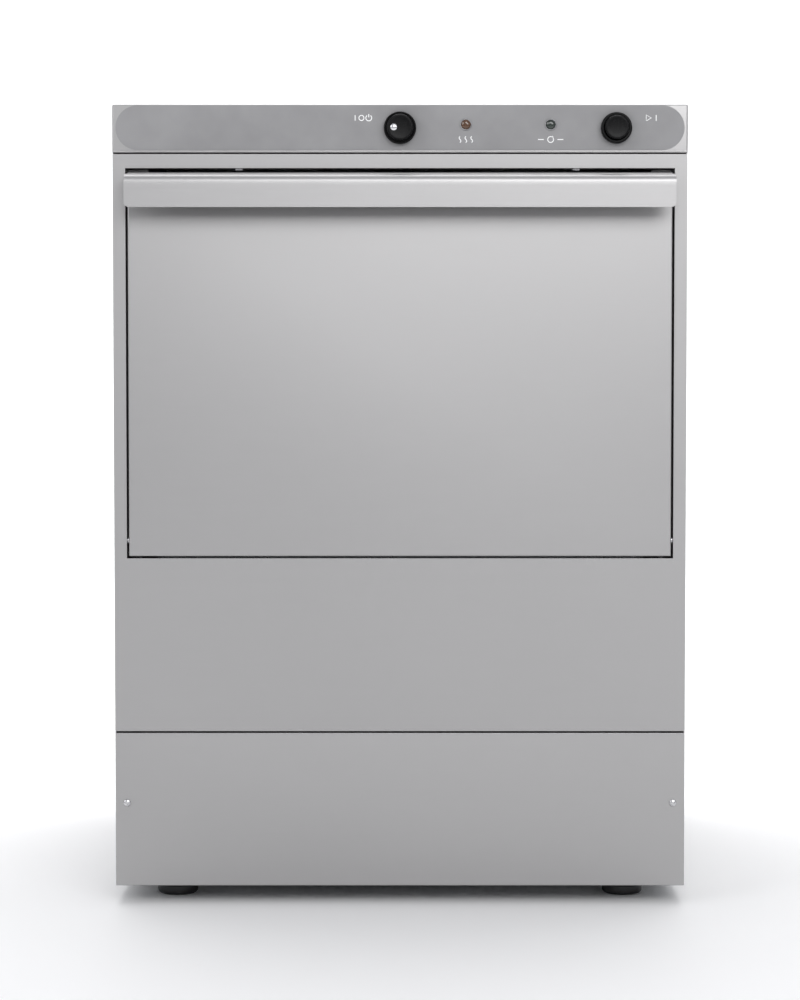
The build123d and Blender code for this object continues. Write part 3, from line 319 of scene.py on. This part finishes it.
green_glass = lens("green_glass", (0.012, 0.035, 0.022), (0.004, 0.010, 0.007))


# ---- sheet-metal casing ------------------------------------------------------------------------
SHEET = 1.2 * MM
PANEL_SCREW_HEIGHTS = (60 * MM, 400 * MM, 730 * MM)
KICK_SCREW_RISE = 86.5 * MM
KICK_SCREW_INSET = 12 * MM
BACK_SCREW_INSET = 8 * MM


def box_of(node):
    """The low and high corners of a node's box, as arrays."""
    low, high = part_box(node)
    return np.array(low, float), np.array(high, float)


def make_casing():
    """Covers and panels: folded pans for the parts seen from the front, rounded copies for the rest."""
    lid_bend, lid_corner = 2.2 * MM, 2.0 * MM
    kick_bend, kick_sheet = 0.8 * MM, 0.6 * MM
    door_bend, door_corner = 1.6 * MM, 1.0 * MM
    low, high = box_of("top_cover")
    points, faces = folded_pan(low, high, (0, 0, 1), lid_bend, high[2] - low[2], SHEET, lid_corner)
    make_piece("lid", points, faces, "cabinet", casing_steel, 35, ("top_cover",))
    low, high = box_of("kick_panel")
    points, faces = folded_pan(low, high, (0, -1, 0), kick_bend, high[1] - low[1], kick_sheet, kick_bend)
    make_piece("kick_plate", points, faces, "cabinet", casing_steel, 35, ("kick_panel",))
    low, high = box_of("door_outer_panel")
    points, faces = folded_pan(low, high, (0, -1, 0), door_bend, high[1] - low[1], SHEET, door_corner)
    make_piece("door_front", points, faces, "door", casing_steel, 35, ("door_outer_panel",))
    softened("front_frame", "cabinet", casing_steel)
    softened("side_panels", "cabinet", side_steel)
    softened("back_panel", "cabinet", casing_steel, 0.3 * MM)
    softened("base_tray", "cabinet", galvanised)
    softened("door_inner_panel", "door", chamber_steel, 0.5 * MM, 3)


def make_lid_hem():
    """The fold line low on the fascia: a shallow raised strip along its bottom edge, rounded like a hem."""
    low, high = box_of("top_cover")
    rise, swell, sunk, lift, end_gap = 1.1 * MM, 0.45 * MM, 0.3 * MM, 0.2 * MM, 1 * MM
    across = np.linspace(low[0] + end_gap, high[0] - end_gap, 3)
    angle = np.linspace(-np.pi / 2, np.pi / 2, 9)
    ring = np.stack([-swell * np.cos(angle), rise * np.sin(angle)], 1)
    ring = np.concatenate([ring, [(sunk, rise), (sunk, -rise)]])
    points = np.zeros((len(across), len(ring), 3))
    points[:, :, 0] = across[:, None]
    points[:, :, 1] = FRONT + ring[None, :, 0]
    points[:, :, 2] = low[2] + rise + lift + ring[None, :, 1]
    make_piece("fascia_hem", points.reshape(-1, 3), tube_faces(len(across), len(ring)), "cabinet",
               handle_steel, 35, ())


def make_handle():
    """Bent handle: the profile runs out from the door, over the bend and down the face; its lower corners
    are rounded, so each strip of the face is as wide as the corner circle leaves it."""
    low, high = box_of("door_handle")
    thickness, bend, corner = 1.5 * MM, 9.0 * MM, 5.0 * MM
    flange_drop, flange_bend, flange_corner = 22 * MM, 0.4 * MM, 1.5 * MM
    angle = np.radians(np.linspace(90, 180, 10))
    profile = [(high[1], high[2])]
    profile += list(zip(low[1] + bend + bend * np.cos(angle), high[2] - bend + bend * np.sin(angle)))
    drop = np.concatenate([np.linspace(high[2] - bend - 3 * MM, low[2] + corner, 4),
                           low[2] + corner - corner * np.sin(np.linspace(0.15, np.pi / 2, 9))])
    profile += [(low[1], level) for level in drop]
    profile = np.array(profile)
    tangent = np.gradient(profile, axis=0)
    tangent /= np.linalg.norm(tangent, axis=1)[:, None]
    inward = np.stack([-tangent[:, 1], tangent[:, 0]], 1)
    over = np.clip((low[2] + corner - profile[:, 1]) / corner, 0, 1)
    over[profile[:, 0] > low[1] + 0.1 * MM] = 0
    half = high[0] - corner * (1 - np.sqrt(1 - over ** 2 * 0.999))
    across = np.linspace(-1, 1, 9)
    outer = np.zeros((len(profile), len(across), 3))
    outer[:, :, 0] = across[None] * half[:, None]
    outer[:, :, 1:] = profile[:, None]
    inner = outer.copy()
    inner[:, :, 1:] += thickness * inward[:, None]
    inner[0, :, 1] = outer[0, :, 1]
    loop = np.concatenate([outer, inner[:, ::-1]], axis=1)
    points = loop.reshape(-1, 3)
    flange_low = (low[0], high[1] - thickness, high[2] - flange_drop)
    flange_high = (high[0], high[1], high[2] - thickness * 0.5)
    flange = folded_pan(flange_low, flange_high, (0, -1, 0), flange_bend, thickness, flange_bend,
                        flange_corner)
    points, faces = join_shapes([(points, tube_faces(len(profile), loop.shape[1])), flange])
    make_piece("handle", points, faces, "door", handle_steel, 40, ("door_handle",))


def make_screw_heads():
    """Pan-head socket screws: a domed head turned about the screw, with a round socket."""
    head_radius, head_height, edge, sunk = 3.9 * MM, 2.2 * MM, 0.7 * MM, 0.1 * MM
    socket = [(1.5 * MM, head_height * 0.98), (1.4 * MM, head_height * 0.45), (0, head_height * 0.40)]
    outline = ([(0, -sunk), (head_radius, -sunk), (head_radius, edge)]
               + [(head_radius * math.cos(a), edge + (head_height - edge) * math.sin(a))
                  for a in np.linspace(0.15, 1.12, 7)] + socket)
    shapes = []
    kick_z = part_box("kick_panel")[0].z + KICK_SCREW_RISE
    for side in (-1, 1):
        shapes.append(lathe(outline, (side * (HALF - KICK_SCREW_INSET), FRONT, kick_z), (0, -1, 0), 24))
        for screw_z in PANEL_SCREW_HEIGHTS:
            shapes.append(lathe(outline, (side * (HALF - BACK_SCREW_INSET), BACK, screw_z), (0, 1, 0), 24))
    points, faces = join_shapes(shapes)
    make_piece("screw_heads", points, faces, "cabinet", fitting_steel, 30, ("panel_screws",))


def make_feet():
    """Round moulded feet: a turned outline with a rounded tread edge, a waist groove and the stud above."""
    tread, pad_gap, collar, stud, stud_tip = 4.2 * MM, 0.3 * MM, 9 * MM, 5.0 * MM, 4.2 * MM
    for corner in ("front_left", "front_right", "back_left", "back_right"):
        low, high = box_of("foot_" + corner)
        centre = ((low[0] + high[0]) / 2, (low[1] + high[1]) / 2, low[2])
        radius, pad = (high[0] - low[0]) / 2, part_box("kick_panel")[0].z - low[2] - pad_gap
        outline = [(0, 0), (radius * 0.8, 0)]
        outline += arc(radius - tread, tread, tread, -85, 0, 7)
        outline += [(radius, 9.4 * MM), (radius - 0.9 * MM, 10.0 * MM), (radius - 0.9 * MM, 11.0 * MM),
                    (radius - 0.2 * MM, 11.6 * MM), (radius - 0.6 * MM, pad), (collar, pad), (stud, pad)]
        outline += [(stud, high[2] - low[2] - 1 * MM), (stud_tip, high[2] - low[2]),
                    (0, high[2] - low[2])]
        points, faces = lathe(outline, centre, (0, 0, 1), 48)
        make_piece("pad_" + corner, points, faces, corner + "_foot", foot_black, 35, ("foot_" + corner,))


make_casing()
make_lid_hem()
make_handle()
make_screw_heads()
make_feet()


# ---- controls ----------------------------------------------------------------------------------
def cap_outline(outer, crown, skirt, total, dish):
    """Half section of a stepped cap: skirt with a rolled lip, groove, crown with a rolled lip and a slightly
    dished face."""
    lip = 1.6 * MM
    outline = [(0, 0), (outer - 0.4 * MM, 0), (outer, 0.5 * MM)]
    outline += arc(outer - lip, skirt - lip, lip, 0, 80, 7)
    outline += [(crown + 0.9 * MM, skirt - 0.5 * MM), (crown, skirt + 0.3 * MM)]
    outline += arc(crown - lip, total - lip, lip, 0, 95, 8)
    outline += [(crown * share, total - dish * (1 - share ** 2)) for share in (0.75, 0.5, 0.25, 0.0)]
    return outline


def make_controls():
    """Power knob with its chrome dot, start button in its bezel, and the two lamps."""
    dish, lip = 0.5 * MM, 1.6 * MM
    low, high = box_of("power_knob")
    knob_z = (low[2] + high[2]) / 2
    radius = (high[0] - low[0]) / 2
    overlay_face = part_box("fascia_overlay")[0].y
    base = overlay_face - 0.3 * MM
    total = base - low[1]
    skirt, spindle, spindle_length = 7.5 * MM, 3 * MM, 24 * MM
    points, faces = join_shapes([
        lathe(cap_outline(radius, radius * 0.80, skirt, total, dish), (0, base, knob_z), (0, -1, 0), 96),
        lathe([(0, 0), (spindle, 0), (spindle, spindle_length), (0, spindle_length)], (0, base, knob_z),
              (0, 1, 0), 24)])
    make_piece("knob_cap", points, faces, "knob", gloss_black, 30, ("power_knob",))

    low, high = box_of("power_knob_marker")
    seat, swell = 0.45 * MM, 0.35 * MM
    centre = ((low[0] + high[0]) / 2, high[1] + seat, (low[2] + high[2]) / 2)
    dot_radius, dot_height = (high[0] - low[0]) / 2 + swell, high[1] + seat - low[1]
    dome = [(0, 0), (dot_radius, 0)] + [(dot_radius * math.cos(a), dot_height * (0.25 + 0.75 * math.sin(a)))
                                        for a in np.linspace(0, np.pi / 2, 9)]
    points, faces = lathe(dome, centre, (0, -1, 0), 40)
    make_piece("knob_dot", points, faces, "knob", chrome, 50, ("power_knob_marker",))

    low, high = box_of("start_bezel")
    bezel_radius = (high[0] - low[0]) / 2
    start = ((low[0] + high[0]) / 2, overlay_face, (low[2] + high[2]) / 2)
    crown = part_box("start_button")[1].x - start[0]
    wall, bore, floor = 8.3 * MM, 7.6 * MM, 1.5 * MM
    sleeve, sleeve_length, crown_gap = 11 * MM, 14 * MM, 0.45 * MM
    well = [(bore, 0), (bezel_radius - 0.4 * MM, 0), (bezel_radius, 0.5 * MM)]
    well += arc(bezel_radius - lip, wall - lip, lip, 0, 85, 7)
    well += [(crown + 2 * crown_gap, wall - 0.3 * MM), (crown + crown_gap, wall - 0.9 * MM),
             (crown + crown_gap, floor), (bore, floor), (bore, 0)]
    points, _ = lathe(well, start, (0, -1, 0), 96)
    faces = list(grid_faces(len(well), 96))
    sleeve_points, _ = lathe([(bore, 0), (sleeve, 0), (sleeve, sleeve_length), (bore, sleeve_length),
                              (bore, 0)], start, (0, 1, 0), 32)
    points, faces = join_shapes([(points, faces), (sleeve_points, list(grid_faces(5, 32)))])
    make_piece("button_bezel", points, faces, "cabinet", gloss_black, 30, ("start_bezel",))

    low, high = box_of("start_button")
    cap_sunk, stem_radius = 6.0 * MM, 7 * MM
    back_of_cap = overlay_face - cap_sunk
    reach = back_of_cap - low[1]
    outline = [(0, 0), (crown, 0)] + arc(crown - lip, reach - lip, lip, 0, 95, 8)
    outline += [(crown * share, reach - dish * (1 - share ** 2)) for share in (0.75, 0.5, 0.25, 0.0)]
    stem = [(0, 0), (stem_radius, 0), (stem_radius, high[1] - back_of_cap), (0, high[1] - back_of_cap)]
    at = (start[0], back_of_cap, start[2])
    points, faces = join_shapes([lathe(outline, at, (0, -1, 0), 96), lathe(stem, at, (0, 1, 0), 24)])
    make_piece("button_cap", points, faces, "button", gloss_black, 30, ("start_button",))

    rim_shapes = []
    lens_swell, rim_radius, rim_roll = 0.9 * MM, 6.1 * MM, 0.6 * MM
    for lamp, glass, slot in (("amber_lamp", amber_glass, "amber_lens"),
                              ("green_lamp", green_glass, "green_lens")):
        low, high = box_of(lamp)
        centre = ((low[0] + high[0]) / 2, overlay_face, (low[2] + high[2]) / 2)
        radius, proud = (high[0] - low[0]) / 2 + lens_swell, overlay_face - low[1] + lens_swell
        facets = [(0, 0), (radius, 0), (radius, proud * 0.35), (radius * 0.82, proud * 0.72),
                  (radius * 0.5, proud * 0.93), (radius * 0.2, proud), (0, proud)]
        points, faces = lathe(facets, centre, (0, -1, 0), 10)
        make_piece(lamp + "_lens", points, faces, "cabinet", glass, 5, (lamp,))
        rim = [(radius, 0), (rim_radius, 0), (rim_radius, 0.5 * MM)]
        rim += arc(rim_radius - rim_roll, 0.5 * MM, rim_roll, 0, 180, 7)
        rim_shapes.append((lathe(rim + [(radius, 0)], centre, (0, -1, 0), 48)[0],
                           list(grid_faces(len(rim) + 1, 48))))
    points, faces = join_shapes(rim_shapes)
    make_piece("lamp_rims", points, faces, "cabinet", spring_wire, 50, ("lamp_bezels",))


def mark(name, strokes, centre, width=0.9 * MM):
    """A printed pictogram: each stroke is a flat ribbon of one width along its points, 0.08 mm proud."""
    shapes = []
    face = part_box("fascia_overlay")[0].y
    print_height = 0.08 * MM
    for stroke in strokes:
        path = np.array(stroke, float) * MM
        tangent = np.gradient(path, axis=0)
        tangent /= np.linalg.norm(tangent, axis=1)[:, None]
        aside = np.stack([-tangent[:, 1], tangent[:, 0]], 1) * width / 2
        ring = np.zeros((len(path), 4, 3))
        for column, (flat, level) in enumerate(((path - aside, 0), (path + aside, 0), (path + aside, 1),
                                                (path - aside, 1))):
            ring[:, column, 0] = centre[0] + flat[:, 0]
            ring[:, column, 2] = centre[1] + flat[:, 1]
            ring[:, column, 1] = face - print_height * level
        shapes.append((ring.reshape(-1, 3), tube_faces(len(path), 4)))
    points, faces = join_shapes(shapes)
    make_piece(name, points, faces, "cabinet", print_white, 30, ())


def circle_stroke(radius, start, stop, steps=20, x=0.0, y=0.0):
    """Points of an arc about (x, y), angles in degrees."""
    angle = np.radians(np.linspace(start, stop, steps))
    return np.stack([x + radius * np.cos(angle), y + radius * np.sin(angle)], 1)


def make_pictograms():
    """Generic printed signs in place of words: on/off, warming, programme and start."""
    knob_z = (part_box("power_knob")[0].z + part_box("power_knob")[1].z) / 2
    start_x = (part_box("start_bezel")[0].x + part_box("start_bezel")[1].x) / 2
    high_row, low_row = knob_z + 10.5 * MM, knob_z - 11.5 * MM
    mark("sign_power", [circle_stroke(3.0, 125, 415), [(0, 0.6), (0, 4.0)], [(-14, -2.8), (-14, 2.8)],
                        circle_stroke(2.6, 0, 360, 24, -7.5)], (-32 * MM, high_row))
    wave = np.linspace(0, 2 * np.pi, 14)
    mark("sign_warming", [np.stack([offset + 0.9 * np.sin(wave), wave - 3.1], 1) for offset in (-6, 0, 6)],
         ((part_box("amber_lamp")[0].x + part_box("amber_lamp")[1].x) / 2, low_row))
    mark("sign_program", [circle_stroke(3.0, 60, 390), [(2.0, 3.6), (1.4, 2.6), (2.9, 2.3)],
                          [(-13, 0), (-7, 0)], [(7, 0), (13, 0)]],
         ((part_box("green_lamp")[0].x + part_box("green_lamp")[1].x) / 2, low_row))
    mark("sign_start", [[(-2.2, -3.0), (-2.2, 3.0), (3.0, 0), (-2.2, -3.0), (-2.2, -1)], [(8, -3), (8, 3)]],
         (start_x + 33 * MM, high_row))


make_controls()
make_pictograms()
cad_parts["fascia_overlay"].data.materials.clear()
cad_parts["fascia_overlay"].data.materials.append(overlay_film)


# ---- wash chamber ------------------------------------------------------------------------------
def make_perforated_plates():
    """Strainer plates: a grid of square cells, each with an eight-sided hole, kept where the CAD plate is
    solid; the cells round the hub and the filter basket are left out."""
    low, high = box_of("filter_plates")
    pitch, hole = 11.0 * MM, 3.4 * MM
    across = np.arange(low[0] + pitch / 2, high[0] - pitch / 2, pitch)
    along = np.arange(low[1] + pitch / 2, high[1] - pitch / 2, pitch)
    x, y = [grid.ravel() for grid in np.meshgrid(across, along, indexing="ij")]
    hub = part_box("arm_spindles")
    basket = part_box("sump_filter")
    basket_x, basket_y = (basket[0].x + basket[1].x) / 2, (basket[0].y + basket[1].y) / 2
    hub_y = (hub[0].y + hub[1].y) / 2
    hub_clear, basket_clear, seam_clear = 33 * MM, 60 * MM, 6 * MM
    keep = (np.hypot(x, y - hub_y) > hub_clear) & (np.hypot(x - basket_x, y - basket_y) > basket_clear)
    keep &= np.abs(x) > seam_clear
    x, y = x[keep], y[keep]
    turn = np.radians(np.arange(8) * 45 + 22.5)
    square = np.stack([np.clip(np.cos(turn) * 9, -1, 1), np.clip(np.sin(turn) * 9, -1, 1)], 1) * pitch / 2
    circle = np.stack([np.cos(turn), np.sin(turn)], 1) * hole
    cell = np.concatenate([np.c_[square, np.full(8, high[2])], np.c_[circle, np.full(8, high[2])],
                           np.c_[circle, np.full(8, low[2])], np.c_[square, np.full(8, low[2])]])
    points = cell[None] + np.stack([x, y, np.zeros_like(x)], 1)[:, None]
    ring = grid_faces(4, 8)
    faces = (ring[None] + (np.arange(len(x)) * 32)[:, None, None]).reshape(-1, 4)
    mesh_points, mesh_faces = points.reshape(-1, 3), list(faces)
    rims = []
    band_out, band_in, band_height = 8 * MM, 1 * MM, 1.3 * MM
    for radius, centre in ((27 * MM, (0, hub_y)), (57 * MM, (basket_x, basket_y))):
        band = [(radius - band_in, 0), (radius + band_out, 0), (radius + band_out, band_height),
                (radius - band_in, band_height), (radius - band_in, 0)]
        rims.append((lathe(band, (*centre, low[2]), (0, 0, 1), 48)[0], list(grid_faces(5, 48))))
    points, faces = join_shapes([(mesh_points, mesh_faces)] + rims)
    mesh = bpy.data.meshes.new("strainer_plates")
    mesh.from_pydata(points.tolist(), [], [list(map(int, face)) for face in faces])
    settle(bpy.data.objects.new("strainer_plates", mesh), "cabinet", chamber_steel, 35, ("filter_plates",))


def make_seal():
    """Door seal: a rounded bulb section carried up one side, round the top corners and down the other."""
    low, high = box_of("door_seal")
    middle_y, depth, wide = (low[1] + high[1]) / 2, (high[1] - low[1]) / 2, 3.25 * MM
    left, right, top = low[0] + wide, high[0] - wide, high[2] - wide
    bend, foot = 10 * MM, 5 * MM
    angle = np.radians(np.linspace(180, 90, 7))
    corner = [(left + bend + bend * np.cos(a), top - bend + bend * np.sin(a)) for a in angle]
    route = [(left, low[2]), (left, low[2] + foot)] + corner
    route += [(-x, z) for x, z in corner[::-1]] + [(right, low[2] + foot), (right, low[2])]
    route = np.array(route)
    tangent = np.gradient(route, axis=0)
    tangent /= np.linalg.norm(tangent, axis=1)[:, None]
    aside = np.stack([-tangent[:, 1], tangent[:, 0]], 1)
    turn = np.linspace(0, 2 * np.pi, 16, endpoint=False)
    across = wide * np.sign(np.cos(turn)) * np.abs(np.cos(turn)) ** 0.7
    through = depth * np.sign(np.sin(turn)) * np.abs(np.sin(turn)) ** 0.7
    points = np.zeros((len(route), len(turn), 3))
    points[:, :, 0] = route[:, None, 0] + aside[:, None, 0] * across[None]
    points[:, :, 2] = route[:, None, 1] + aside[:, None, 1] * across[None]
    points[:, :, 1] = middle_y + through[None]
    make_piece("bulb_seal", points.reshape(-1, 3), tube_faces(len(route), len(turn)), "cabinet",
               seal_rubber, 60, ("door_seal",))


def spray_blade(node, name, body, half_width, nozzle_up, slots):
    """A pressed spray arm: elliptical sections along its length that taper to round ends, swollen over the
    hub, with raised oval nozzles along both blades."""
    low, high = box_of(node)
    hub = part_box("arm_spindles")
    centre_y = (hub[0].y + hub[1].y) / 2
    is_wash = half_width > 10 * MM
    raised = 2.0 * MM if is_wash else 1.5 * MM
    bottom = low[2] + (raised if not nozzle_up else 0)
    top = high[2] - (raised if nozzle_up else 0)
    middle, thick = (bottom + top) / 2, (top - bottom) / 2
    rinse_turn, rinse_shorter = 38.0, 10 * MM
    turn_angle = 0.0 if is_wash else math.radians(rinse_turn if nozzle_up else -rinse_turn)
    reach_of_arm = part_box("lower_wash_arm")[1].x
    length = reach_of_arm if is_wash else reach_of_arm - rinse_shorter
    station = np.sin(np.linspace(-np.pi / 2, np.pi / 2, 41))
    taper = np.sqrt(np.clip(1 - np.abs(station) ** 14, 0.0004, 1))
    swell = np.exp(-(station * length / (26 * MM)) ** 4)
    width = (half_width * (1 - 0.22 * np.abs(station)) + (0.75 * half_width + 4 * MM) * swell) * taper
    turn = np.linspace(0, 2 * np.pi, 20, endpoint=False)
    across = np.sign(np.cos(turn)) * np.abs(np.cos(turn)) ** 0.75
    up = np.sign(np.sin(turn)) * np.abs(np.sin(turn)) ** 0.75
    points = np.zeros((41, 20, 3))
    points[:, :, 0] = station[:, None] * length
    points[:, :, 1] = width[:, None] * across[None]
    crown = (0.82 + 0.18 * swell) * np.minimum(taper * 1.2, 1)
    points[:, :, 2] = middle + thick * up[None] * crown[:, None]
    shapes = [(points.reshape(-1, 3), tube_faces(41, 20))]
    way = 1 if nozzle_up else -1
    face_level = top if nozzle_up else bottom
    for place in range(1, slots + 1):
        for side in (-1, 1):
            reach = side * length * (place / slots * 0.88 + 0.04)
            oval = rounded_ring(6.5 * MM if is_wash else 3.4 * MM, 2.6 * MM, 2.5 * MM, 5)
            heights = ((1.0, -2.2 * MM), (1.0, raised * 0.5), (0.82, raised * 0.95), (0.45, raised * 0.95),
                       (0.35, raised * 0.2))
            rings = np.zeros((5, len(oval), 3))
            for row, (share, level) in enumerate(heights):
                rings[row, :, 0] = reach + oval[:, 0] * share
                rings[row, :, 1] = side * half_width * 0.18 + oval[:, 1] * share
                rings[row, :, 2] = face_level + way * level
            shapes.append((rings.reshape(-1, 3), tube_faces(5, len(oval))))
    points, faces = join_shapes(shapes)
    turned = points.copy()
    turned[:, 0] = points[:, 0] * math.cos(turn_angle) - points[:, 1] * math.sin(turn_angle)
    turned[:, 1] = centre_y + points[:, 0] * math.sin(turn_angle) + points[:, 1] * math.cos(turn_angle)
    make_piece(name, turned, faces, body, fitting_steel, 40, (node,))


def make_arm_nuts():
    """Hand nuts: a turned outline whose radius is scalloped by eight waves round the grip."""
    low, high = box_of("arm_nuts")
    centre = ((low[0] + high[0]) / 2, (low[1] + high[1]) / 2)
    radius, thick = (high[0] - low[0]) / 2, 12 * MM
    shapes = []
    for base in (low[2], high[2] - thick):
        outline = [(0, 0), (radius * 0.8, 0), (radius * 0.97, thick * 0.12), (radius, thick * 0.3),
                   (radius, thick * 0.72), (radius * 0.94, thick * 0.9), (radius * 0.8, thick), (0, thick)]
        points, faces = lathe(outline, (*centre, base), (0, 0, 1), 64)
        offset = points[:, :2] - np.array(centre)
        angle = np.arctan2(offset[:, 1], offset[:, 0])
        reach = np.hypot(offset[:, 0], offset[:, 1])
        scallop = 1 - 0.07 * (0.5 + 0.5 * np.cos(8 * angle)) * (reach > radius * 0.75)
        points[:, :2] = np.array(centre) + offset * scallop[:, None]
        shapes.append((points, faces))
    points, faces = join_shapes(shapes)
    make_piece("hand_nuts", points, faces, "cabinet", hub_plastic, 35, ("arm_nuts",))


def make_springs():
    """Door springs: a close-wound helix with a hooked end at the top and bottom."""
    low, high = box_of("door_springs")
    wire, coil_radius, hook = 1.2 * MM, 5.0 * MM, 16 * MM
    shapes = []
    for side in (-1, 1):
        x = side * (high[0] - coil_radius)
        y = (low[1] + high[1]) / 2
        coil = coil_radius - wire
        turns = 62
        angle = np.linspace(0, 2 * np.pi * turns, turns * 14)
        bottom, top = low[2] + hook, high[2] - hook
        helix = np.stack([x + coil * np.cos(angle), y + coil * np.sin(angle),
                          np.linspace(bottom, top, len(angle))], 1)
        foot = [(x, y, low[2] + wire), (x, y, low[2] + 10 * MM), (x + coil * 0.7, y, bottom - 2.5 * MM)]
        head = [(x + coil * 0.7, y, top + 2.5 * MM), (x, y, high[2] - 10 * MM), (x, y, high[2] - wire)]
        shapes.append(tube_along(np.concatenate([foot, helix, head]), wire, 6))
    points, faces = join_shapes(shapes)
    make_piece("coil_springs", points, faces, "cabinet", spring_wire, 60, ("door_springs",))


make_perforated_plates()
make_seal()
spray_blade("lower_wash_arm", "wash_blade_lower", "lower_wash", 18 * MM, True, 5)
spray_blade("upper_wash_arm", "wash_blade_upper", "upper_wash", 18 * MM, False, 5)
spray_blade("lower_rinse_arm", "rinse_blade_lower", "lower_rinse", 7 * MM, True, 5)
spray_blade("upper_rinse_arm", "rinse_blade_upper", "upper_rinse", 7 * MM, False, 5)
make_arm_nuts()
make_springs()
for chamber_part in ("chamber_sides", "chamber_roof_and_back", "wash_tank", "rack_runners", "sump_filter"):
    softened(chamber_part, "cabinet", chamber_steel, 0.3 * MM)

NODE_FINISHES = {
    "door_levers": fitting_steel, "door_magnet": switch_plastic, "handle_screws": fitting_steel,
    "hinge_brackets": galvanised, "door_catch_plates": fitting_steel, "door_switch": switch_plastic,
    "arm_spindles": hub_plastic, "standpipe": grey_plastic, "tank_heater": fitting_steel,
    "power_switch": switch_plastic, "start_switch": switch_plastic, "pump_volute": pump_plastic,
    "pump_impeller": pump_plastic, "pump_motor": motor_paint, "feed_pipes": grey_plastic,
    "tank_hoses": hose_rubber, "rinse_hoses": hose_rubber, "boiler": fitting_steel,
    "boiler_cradles": galvanised, "boiler_element": fitting_steel, "inlet_valve": brass,
    "drain_outlet": grey_plastic, "cable_gland": switch_plastic, "electrical_panel": galvanised,
    "pressure_switch": switch_plastic,
}
for node_name, finish in NODE_FINISHES.items():
    node_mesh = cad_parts[node_name].data
    node_mesh.materials.clear()
    node_mesh.materials.append(finish)


# ---- floor, light and camera -------------------------------------------------------------------
def make_stage():
    """A pale floor that curves up into a backdrop: a strip carried across, flat, then an arc, then
    upright."""
    depth_run, bend, rise = 2.6, 1.2, 3.4
    angle = np.linspace(0, np.pi / 2, 16)
    run = np.concatenate([[-6.0, depth_run], depth_run + bend * np.sin(angle), [depth_run + bend]])
    level = np.concatenate([[0.0, 0.0], bend - bend * np.cos(angle), [rise]])
    across = np.array([-7.0, 7.0])
    points = np.zeros((len(run), 2, 3))
    points[:, :, 0] = across
    points[:, :, 1] = run[:, None]
    points[:, :, 2] = level[:, None]
    mesh = bpy.data.meshes.new("studio_floor")
    mesh.from_pydata(points.reshape(-1, 3).tolist(), [], grid_faces(len(run), 2, False).tolist())
    mesh.polygons.foreach_set("use_smooth", np.ones(len(mesh.polygons), bool))
    floor = bpy.data.objects.new("studio_floor", mesh)
    bpy.context.scene.collection.objects.link(floor)
    finish, tree, shader = new_finish("floor_paint", (0.93, 0.93, 0.93), 0.0, 0.7)
    tree.links.new(mix_colours(tree, object_noise(tree, 3.0), (0.92, 0.92, 0.92), (0.94, 0.94, 0.94)),
                   shader.inputs["Base Color"])
    mesh.materials.append(finish)


def soft_light(name, place, aim, size, power):
    """A large square area light pointed at a place."""
    lamp = bpy.data.lights.new(name, "AREA")
    lamp.shape = "RECTANGLE"
    lamp.size, lamp.size_y = size
    lamp.energy = power
    holder = bpy.data.objects.new(name, lamp)
    holder.location = place
    direction = np.array(aim) - np.array(place)
    holder.rotation_euler = Vector(direction).to_track_quat("-Z", "Y").to_euler()
    bpy.context.scene.collection.objects.link(holder)


def make_camera():
    """The camera stands before the front face, above the middle, and looks about 2.6 degrees down."""
    distance, eye_height, aim_height, frame_height = 2.64, 0.539, 0.4192, 1.0307
    lens_view = bpy.data.cameras.new("camera")
    lens_view.sensor_fit = "VERTICAL"
    lens_view.angle = 2 * math.atan(frame_height / 2 / distance)
    holder = bpy.data.objects.new("camera", lens_view)
    holder.location = (0.0, FRONT - distance, eye_height)
    tilt = math.atan((aim_height - eye_height) / distance)
    holder.rotation_euler = (math.pi / 2 + tilt, 0, 0)
    bpy.context.scene.collection.objects.link(holder)
    bpy.context.scene.camera = holder


world = bpy.data.worlds.new("studio")
world.use_nodes = True
world.node_tree.nodes["Background"].inputs["Color"].default_value = (0.95, 0.96, 1.0, 1)
world.node_tree.nodes["Background"].inputs["Strength"].default_value = 0.54
bpy.context.scene.world = world
bpy.context.scene.view_settings.view_transform = "Standard"
make_stage()
soft_light("key", (0.9, -3.4, 2.0), (0, -0.3, 0.5), (2.8, 1.5), 46)
soft_light("fill", (-2.8, -2.4, 1.9), (0, 0, 0.4), (1.6, 1.6), 20)
soft_light("top", (0, 0.8, 3.2), (0, 0.4, 0), (2.5, 2.5), 45)
soft_light("backdrop", (0, 1.0, 2.8), (0, 3.8, 0.9), (4.5, 0.8), 95)
make_camera()
